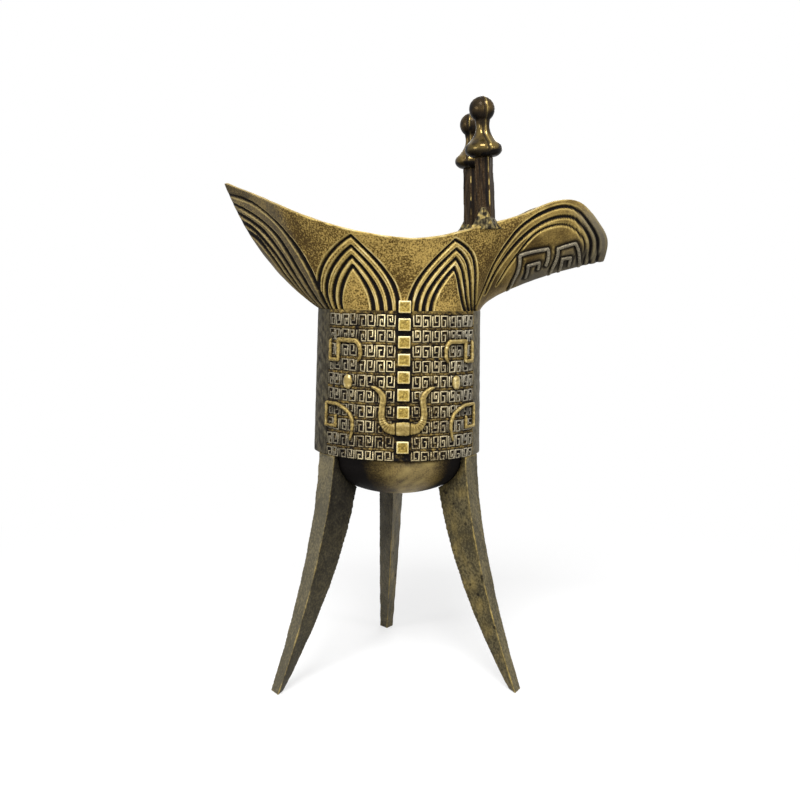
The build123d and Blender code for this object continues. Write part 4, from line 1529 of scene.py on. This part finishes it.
def cast_grain():
    """Return the group for the fine speckle, broad patches and small pits of a cast skin."""
    inputs = (("Grain", "NodeSocketFloat", 1300.0), ("Patch", "NodeSocketFloat", 75.0))
    outputs = [(label, "NodeSocketFloat") for label in ("Speckle", "Patches", "Height")]
    tree, given, end = new_group("Cast grain", inputs, outputs)
    place = put(tree, "ShaderNodeTexCoord").outputs["Object"]
    speckle = noise(tree, place, given["Grain"], detail=4.0, roughness=0.62)
    patches = noise(tree, place, given["Patch"], detail=3.0, roughness=0.5)
    cells = {"Vector": place, "Scale": maths(tree, "MULTIPLY", given["Grain"], 0.55)}
    pit = ramp(tree, put(tree, "ShaderNodeTexVoronoi", cells).outputs["Distance"], low=0.0, high=0.35)
    height = weighted(tree, 0.0, (speckle, 0.7), (pit, 0.3))
    return finish_group(tree, end, {"Speckle": speckle, "Patches": patches, "Height": height})


def rubbed_patina():
    """Return the group for dark patina and painted shade, a mottled ground, rubbed gold and painted
    highlights.
    """
    colours = ("Patina and shade", "Dark", "Light", "Gold", "Edge", "Grey")
    values = ("Speckle", "Patches", "Calm", "Depth", "Rub and highlight", "Tarnish", "Polish", "Bare")
    inputs = [(label, "NodeSocketColor", (0.2, 0.15, 0.05, 1)) for label in colours]
    inputs += [(label, "NodeSocketFloat", 0.5) for label in values]
    outputs = [("Colour", "NodeSocketColor")]
    outputs += [(label, "NodeSocketFloat") for label in ("Roughness", "Metal")]
    tree, given, end = new_group("Rubbed patina", inputs, outputs)
    flat = maths(tree, "MULTIPLY", maths(tree, "SUBTRACT", 0.5, given["Speckle"]), given["Calm"])
    speckle = maths(tree, "ADD", given["Speckle"], flat)
    mottle = weighted(tree, 0.0, (speckle, 0.68), (given["Patches"], 0.32))
    ground = blend(tree, ramp(tree, mottle, low=0.425, high=0.615), given["Dark"], given["Light"])
    # The rub field brings rubbed gold and pale edges, and the painted highlights as well
    wear_and_sheen = maths(tree, "MULTIPLY", given["Rub and highlight"], weighted(tree, 0.55, (speckle, 0.9)), clamp=True)
    gilded = blend(tree, ramp(tree, wear_and_sheen, low=0.08, high=0.55), ground, given["Gold"])
    edged = blend(tree, ramp(tree, wear_and_sheen, low=0.5, high=1.0), gilded, given["Edge"])
    dulled = blend(tree, given["Tarnish"], edged, given["Grey"])
    # The darkening field brings the dark patina of hollows, and the painted shade as well
    deep = maths(tree, "MULTIPLY", given["Depth"], weighted(tree, 1.35, (speckle, -0.5)), clamp=True)
    colour = blend(tree, deep, dulled, given["Patina and shade"])
    bare = maths(tree, "ADD", maths(tree, "MULTIPLY", wear_and_sheen, 0.3), given["Bare"], clamp=True)
    metal = maths(tree, "MULTIPLY", bare, maths(tree, "SUBTRACT", 1.0, deep))
    rough = weighted(tree, 0.56, (given["Polish"], -0.4), (deep, 0.25), (speckle, 0.14))
    return finish_group(tree, end, {"Colour": colour, "Roughness": rough, "Metal": metal})


def new_material(name):
    """Return an empty material and its node tree."""
    material = bpy.data.materials.new(name)
    material.use_nodes = True
    material.node_tree.nodes.clear()
    return material, material.node_tree


def bronze(name, dark, light, gold, edge, grey=BODY_GREY, polish=0.5, bare=0.2, grain=1800.0, bump=0.25):
    """Return the named cast bronze, made the first time that it is asked for."""
    made = bpy.data.materials.get(name)
    if made:
        return made
    material, tree = new_material(name)
    groups = bpy.data.node_groups
    skin = put(tree, "ShaderNodeGroup", node_tree=groups.get("Cast grain") or cast_grain())
    skin.inputs["Grain"].default_value = grain
    coat = put(tree, "ShaderNodeGroup", node_tree=groups.get("Rubbed patina") or rubbed_patina())
    hollow = bpy.context.scene.jue_colours.hollow
    colours = {"Dark": dark, "Light": light, "Gold": gold, "Edge": edge, "Patina and shade": hollow, "Grey": grey}
    for label, value in colours.items():
        coat.inputs[label].default_value = (*value, 1)
    coat.inputs["Polish"].default_value = polish
    coat.inputs["Bare"].default_value = bare
    for label in ("Speckle", "Patches"):
        tree.links.new(skin.outputs[label], coat.inputs[label])
    for label, field in (("Depth", "hollow"), ("Rub and highlight", "rub"), ("Calm", "calm"), ("Tarnish", "tarnish")):
        stored = put(tree, "ShaderNodeAttribute", attribute_name=field)
        tree.links.new(stored.outputs["Fac"], coat.inputs[label])
    relief = {"Height": skin.outputs["Height"], "Strength": bump, "Distance": GRAIN_DEPTH}
    shader = put(tree, "ShaderNodeBsdfPrincipled", {
        "Base Color": coat.outputs["Colour"],
        "Roughness": coat.outputs["Roughness"],
        "Metallic": coat.outputs["Metal"],
        "Normal": put(tree, "ShaderNodeBump", relief).outputs["Normal"],
        "Specular IOR Level": PATINA_SHINE,
    })
    put(tree, "ShaderNodeOutputMaterial", {"Surface": shader.outputs["BSDF"]})
    return material


def body_bronze():
    """Return the mottled olive gold of the body."""
    user = bpy.context.scene.jue_colours
    return bronze("cast_body", user.dark, user.light, user.gold, user.edge)


def fret_bronze():
    """Return the dull gold of the band's spirals and the spout's hooks."""
    user = bpy.context.scene.jue_colours
    return bronze("cast_fret", user.dark, user.fret, user.fret, user.edge, FRET_GREY)


def leg_bronze():
    """Return the olive grey of the legs, the posts' feet and the band's plain strips."""
    user = bpy.context.scene.jue_colours
    return bronze("cast_leg", LEG_DARK, user.leg, user.gold, user.edge, LEG_GREY, grain=1150.0)


def mask_bronze():
    """Return the rubbed gold of the mask."""
    user = bpy.context.scene.jue_colours
    return bronze("cast_mask", user.dark, user.mask, user.mask, MASK_EDGE)


def stud_bronze():
    """Return the bright gold of the studs."""
    user = bpy.context.scene.jue_colours
    return bronze("cast_studs", STUD_DARK, user.stud, user.stud, user.edge)


def post_bronze():
    """Return the red brown of the posts."""
    user = bpy.context.scene.jue_colours
    return bronze("cast_post", POST_DARK, user.post, user.gold, user.edge, polish=0.7, bump=0.12)


def cap_bronze():
    """Return the polished brown gold of the caps."""
    user = bpy.context.scene.jue_colours
    return bronze("cast_cap", CAP_DARK, user.cap, user.gold, user.edge, polish=1.3, bare=0.75, bump=0.05)


# Stage

def stand(name, data, place, right, top, back):
    """Put a lamp or camera at its place with its own axes."""
    holder = bpy.data.objects.new(name, data)
    turn = Matrix(np.stack((right, top, back), axis=1).tolist()).to_4x4()
    holder.matrix_world = Matrix.Translation(place) @ turn
    bpy.context.scene.collection.objects.link(holder)
    return holder


def build_lamp(name, place, target, size, power):
    """Add a square lamp that faces the target."""
    light = bpy.data.lights.new(name, "AREA")
    light.size = size
    light.energy = power
    back = unit(np.array(place) - np.array(target))
    across = unit(np.cross((0, 0, 1), back))
    stand(name, light, place, across, np.cross(back, across), back)


def white_rays(tree):
    """Return 1 for rays that show the white surroundings, straight, mirrored or through something clear."""
    path = put(tree, "ShaderNodeLightPath").outputs
    mirrored_or_clear = maths(tree, "MAXIMUM", path["Is Glossy Ray"], path["Is Transmission Ray"])
    return maths(tree, "MAXIMUM", path["Is Camera Ray"], mirrored_or_clear)


def floor_material():
    """Return a white floor that keeps the shadow and fades into the white background."""
    material, tree = new_material("floor_white")
    place = put(tree, "ShaderNodeNewGeometry").outputs["Position"]
    spread = put(tree, "ShaderNodeVectorMath", {0: place}, operation="LENGTH")
    far = ramp(tree, spread.outputs["Value"], *FLOOR_FADE)
    seen = white_rays(tree)
    tone = blend(tree, seen, (*[FLOOR_SHADE] * 3, 1), (*[FLOOR_WHITE] * 3, 1))
    paper = put(tree, "ShaderNodeBsdfDiffuse", {"Color": tone})
    glow = put(tree, "ShaderNodeEmission", {"Color": WHITE, "Strength": 1.0})
    share = maths(tree, "MULTIPLY", weighted(tree, FLOOR_GLOW, (far, FLOOR_FAR_GLOW)), seen)
    mix = put(tree, "ShaderNodeMixShader", {0: share, 1: paper.outputs[0], 2: glow.outputs[0]})
    put(tree, "ShaderNodeOutputMaterial", {"Surface": mix.outputs[0]})
    return material


def build_floor():
    """Add the floor."""
    corners = [(x * FLOOR_HALF, y * FLOOR_HALF, 0) for x, y in ((-1, -1), (1, -1), (1, 1), (-1, 1))]
    mesh = new_mesh("floor", corners, [(0, 1, 2, 3)])
    mesh.materials.append(floor_material())
    floor = bpy.data.objects.new("floor", mesh)
    bpy.context.scene.collection.objects.link(floor)


def build_surroundings():
    """Add surroundings that look white and light the vessel softly."""
    world = bpy.data.worlds.new("white_room")
    world.use_nodes = True
    tree = world.node_tree
    tree.nodes.clear()
    white = put(tree, "ShaderNodeBackground", {"Color": WHITE, "Strength": 1.0})
    soft = put(tree, "ShaderNodeBackground", {"Color": WHITE, "Strength": ROOM_LIGHT})
    mix = put(tree, "ShaderNodeMixShader", {0: white_rays(tree), 1: soft.outputs[0], 2: white.outputs[0]})
    put(tree, "ShaderNodeOutputWorld", {"Surface": mix.outputs[0]})
    bpy.context.scene.world = world


def build_camera():
    """Add the camera at the photograph's view."""
    azimuth = math.radians(VIEW_AZIMUTH)
    facing = azimuth + math.radians(VIEW_YAW)
    pitch = math.radians(VIEW_PITCH)
    roll = math.radians(VIEW_ROLL)
    ahead = np.array((-math.sin(facing), math.cos(facing), 0))
    across = np.array((math.cos(facing), math.sin(facing), 0))
    upright = np.array((0, 0, 1))
    look = ahead * math.cos(pitch) - upright * math.sin(pitch)
    rise = upright * math.cos(pitch) + ahead * math.sin(pitch)
    right = across * math.cos(roll) - rise * math.sin(roll)
    top = rise * math.cos(roll) + across * math.sin(roll)
    place = (VIEW_DISTANCE * math.sin(azimuth), -VIEW_DISTANCE * math.cos(azimuth), VIEW_HEIGHT)
    camera = bpy.data.cameras.new("photo_view")
    camera.sensor_width = VIEW_SENSOR
    camera.lens = VIEW_LENS
    bpy.context.scene.camera = stand("photo_view", camera, place, right, top, -look)


# Settings and operators

class JueSizes(bpy.types.PropertyGroup):
    groove_width: FloatProperty(
        name="Groove width", description="Width of the carved lines of the mouth",
        default=1.35 * MM, unit="LENGTH",
    )
    groove_depth: FloatProperty(
        name="Groove depth", description="Depth of the carved lines of the mouth",
        default=0.8 * MM, unit="LENGTH",
    )
    groove_edge: FloatProperty(
        name="Groove edge", description="Run of a carved line's sloped side",
        default=0.22 * MM, unit="LENGTH",
    )
    hook_width: FloatProperty(
        name="Hook width", description="Width of the raised hooks on the spout",
        default=1.2 * MM, unit="LENGTH",
    )
    panel_depth: FloatProperty(
        name="Panel depth", description="How deep the spout's panel lies round its hooks",
        default=0.5 * MM, unit="LENGTH",
    )
    fret_width: FloatProperty(
        name="Fret line", description="Width of a spiral line on the band",
        default=0.44 * MM, unit="LENGTH",
    )
    fret_relief: FloatProperty(
        name="Fret relief", description="How far a spiral line stands out of the band",
        default=0.22 * MM, unit="LENGTH",
    )
    ground_depth: FloatProperty(
        name="Ground depth",
        description="How far the ground round the spirals lies below the band's surface",
        default=0.2 * MM, unit="LENGTH",
    )
    columns: IntProperty(
        name="Wall columns", description="Columns of the mouth's wall on each side", default=410,
    )
    rows: IntProperty(
        name="Wall rows", description="Rows of the mouth's outer wall", default=100,
    )


class JueColours(bpy.types.PropertyGroup):
    # Dark patina of the carved lines; the same colour also paints the shade and shadows
    hollow: FloatVectorProperty(
        name="Hollows", description="Patina in the carved lines",
        default=(0.0085, 0.0072, 0.0068), subtype="COLOR",
    )
    dark: FloatVectorProperty(
        name="Dark ground", description="Darker patches of the body",
        default=(0.07, 0.042, 0.012), subtype="COLOR",
    )
    light: FloatVectorProperty(
        name="Light ground", description="Lighter patches of the body",
        default=(0.51, 0.35, 0.1), subtype="COLOR",
    )
    # Rubbed gold and pale edges also colour the painted highlights
    gold: FloatVectorProperty(
        name="Rubbed gold", description="Metal that is rubbed bare",
        default=(0.52, 0.38, 0.12), subtype="COLOR",
    )
    edge: FloatVectorProperty(
        name="Pale edges", description="Edges that shine",
        default=(0.78, 0.66, 0.36), subtype="COLOR",
    )
    fret: FloatVectorProperty(
        name="Spiral lines", description="Dull gold of the band's spirals",
        default=(0.47, 0.39, 0.225), subtype="COLOR",
    )
    leg: FloatVectorProperty(
        name="Legs", description="Olive grey of the legs and the plain strips",
        default=(0.2, 0.163, 0.079), subtype="COLOR",
    )
    post: FloatVectorProperty(
        name="Posts", description="Red brown of the posts",
        default=(0.06, 0.039, 0.02), subtype="COLOR",
    )
    cap: FloatVectorProperty(
        name="Caps", description="Brown gold of the post caps",
        default=(0.2, 0.13, 0.047), subtype="COLOR",
    )
    stud: FloatVectorProperty(
        name="Studs", description="Bright gold of the studs",
        default=(0.49, 0.36, 0.095), subtype="COLOR",
    )
    mask: FloatVectorProperty(
        name="Mask", description="Rubbed gold of the mask",
        default=(0.34, 0.25, 0.085), subtype="COLOR",
    )


class JUE_OT_mouth(bpy.types.Operator):
    """Build the mouth with its spout, tail, carved lines and hooks"""

    bl_idname = "jue.mouth"
    bl_label = "Mouth"

    def execute(self, context):
        build_mouth(context.scene.jue_sizes)
        build_hooks(context.scene.jue_sizes)
        return {"FINISHED"}


class JUE_OT_band(bpy.types.Operator):
    """Build the ornament band with its squared spirals"""

    bl_idname = "jue.band"
    bl_label = "Ornament band"

    def execute(self, context):
        build_ground(context.scene.jue_sizes)
        build_fret(context.scene.jue_sizes)
        return {"FINISHED"}


class JUE_OT_relief(bpy.types.Operator):
    """Build the mask relief and the studs on the band"""

    bl_idname = "jue.relief"
    bl_label = "Studs and mask"

    def execute(self, context):
        for node, bearing in relief_nodes():
            build_relief(node, bearing)
        build_studs()
        return {"FINISHED"}


class JUE_OT_cup(bpy.types.Operator):
    """Finish the cup and cast the handle"""

    bl_idname = "jue.cup"
    bl_label = "Cup and handle"

    def execute(self, context):
        build_cup()
        build_handle()
        return {"FINISHED"}


class JUE_OT_legs(bpy.types.Operator):
    """Cast the three blade legs"""

    bl_idname = "jue.legs"
    bl_label = "Legs"

    def execute(self, context):
        for number, (node, bearing) in enumerate(LEG_BEARINGS.items()):
            build_leg(number, node, bearing)
        return {"FINISHED"}


class JUE_OT_posts(bpy.types.Operator):
    """Cast the two rim posts and turn their caps"""

    bl_idname = "jue.posts"
    bl_label = "Posts and caps"

    def execute(self, context):
        for side in ("front", "rear"):
            build_post(side)
            build_cap(side)
        return {"FINISHED"}


class JUE_OT_stage(bpy.types.Operator):
    """Set the floor, the white surroundings, the lamps and the camera"""

    bl_idname = "jue.stage"
    bl_label = "Stage"

    def execute(self, context):
        context.scene.view_settings.view_transform = "Standard"
        build_floor()
        build_surroundings()
        for name, settings in LAMPS.items():
            build_lamp(name, *settings)
        build_camera()
        return {"FINISHED"}


class JUE_PT_panel(bpy.types.Panel):
    """Buttons, sizes and colours of the jue vessel"""

    bl_idname = "JUE_PT_panel"
    bl_label = "Bronze jue"
    bl_space_type = "VIEW_3D"
    bl_region_type = "UI"
    bl_category = "Jue"

    def draw(self, context):
        for operator in OPERATORS:
            self.layout.operator(operator.bl_idname)
        for settings in (context.scene.jue_sizes, context.scene.jue_colours):
            for name in settings.__annotations__:
                self.layout.prop(settings, name)


OPERATORS = (JUE_OT_mouth, JUE_OT_band, JUE_OT_relief, JUE_OT_cup, JUE_OT_legs, JUE_OT_posts, JUE_OT_stage)
CLASSES = (JueSizes, JueColours, *OPERATORS, JUE_PT_panel)


def register():
    for cls in CLASSES:
        bpy.utils.register_class(cls)
    bpy.types.Scene.jue_sizes = PointerProperty(type=JueSizes)
    bpy.types.Scene.jue_colours = PointerProperty(type=JueColours)


def unregister():
    del bpy.types.Scene.jue_colours
    del bpy.types.Scene.jue_sizes
    for cls in reversed(CLASSES):
        bpy.utils.unregister_class(cls)


def main():
    register()
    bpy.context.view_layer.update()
    bpy.ops.jue.mouth()
    bpy.ops.jue.band()
    bpy.ops.jue.relief()
    bpy.ops.jue.cup()
    bpy.ops.jue.legs()
    bpy.ops.jue.posts()
    bpy.ops.jue.stage()


if __name__ == "__main__":
    main()
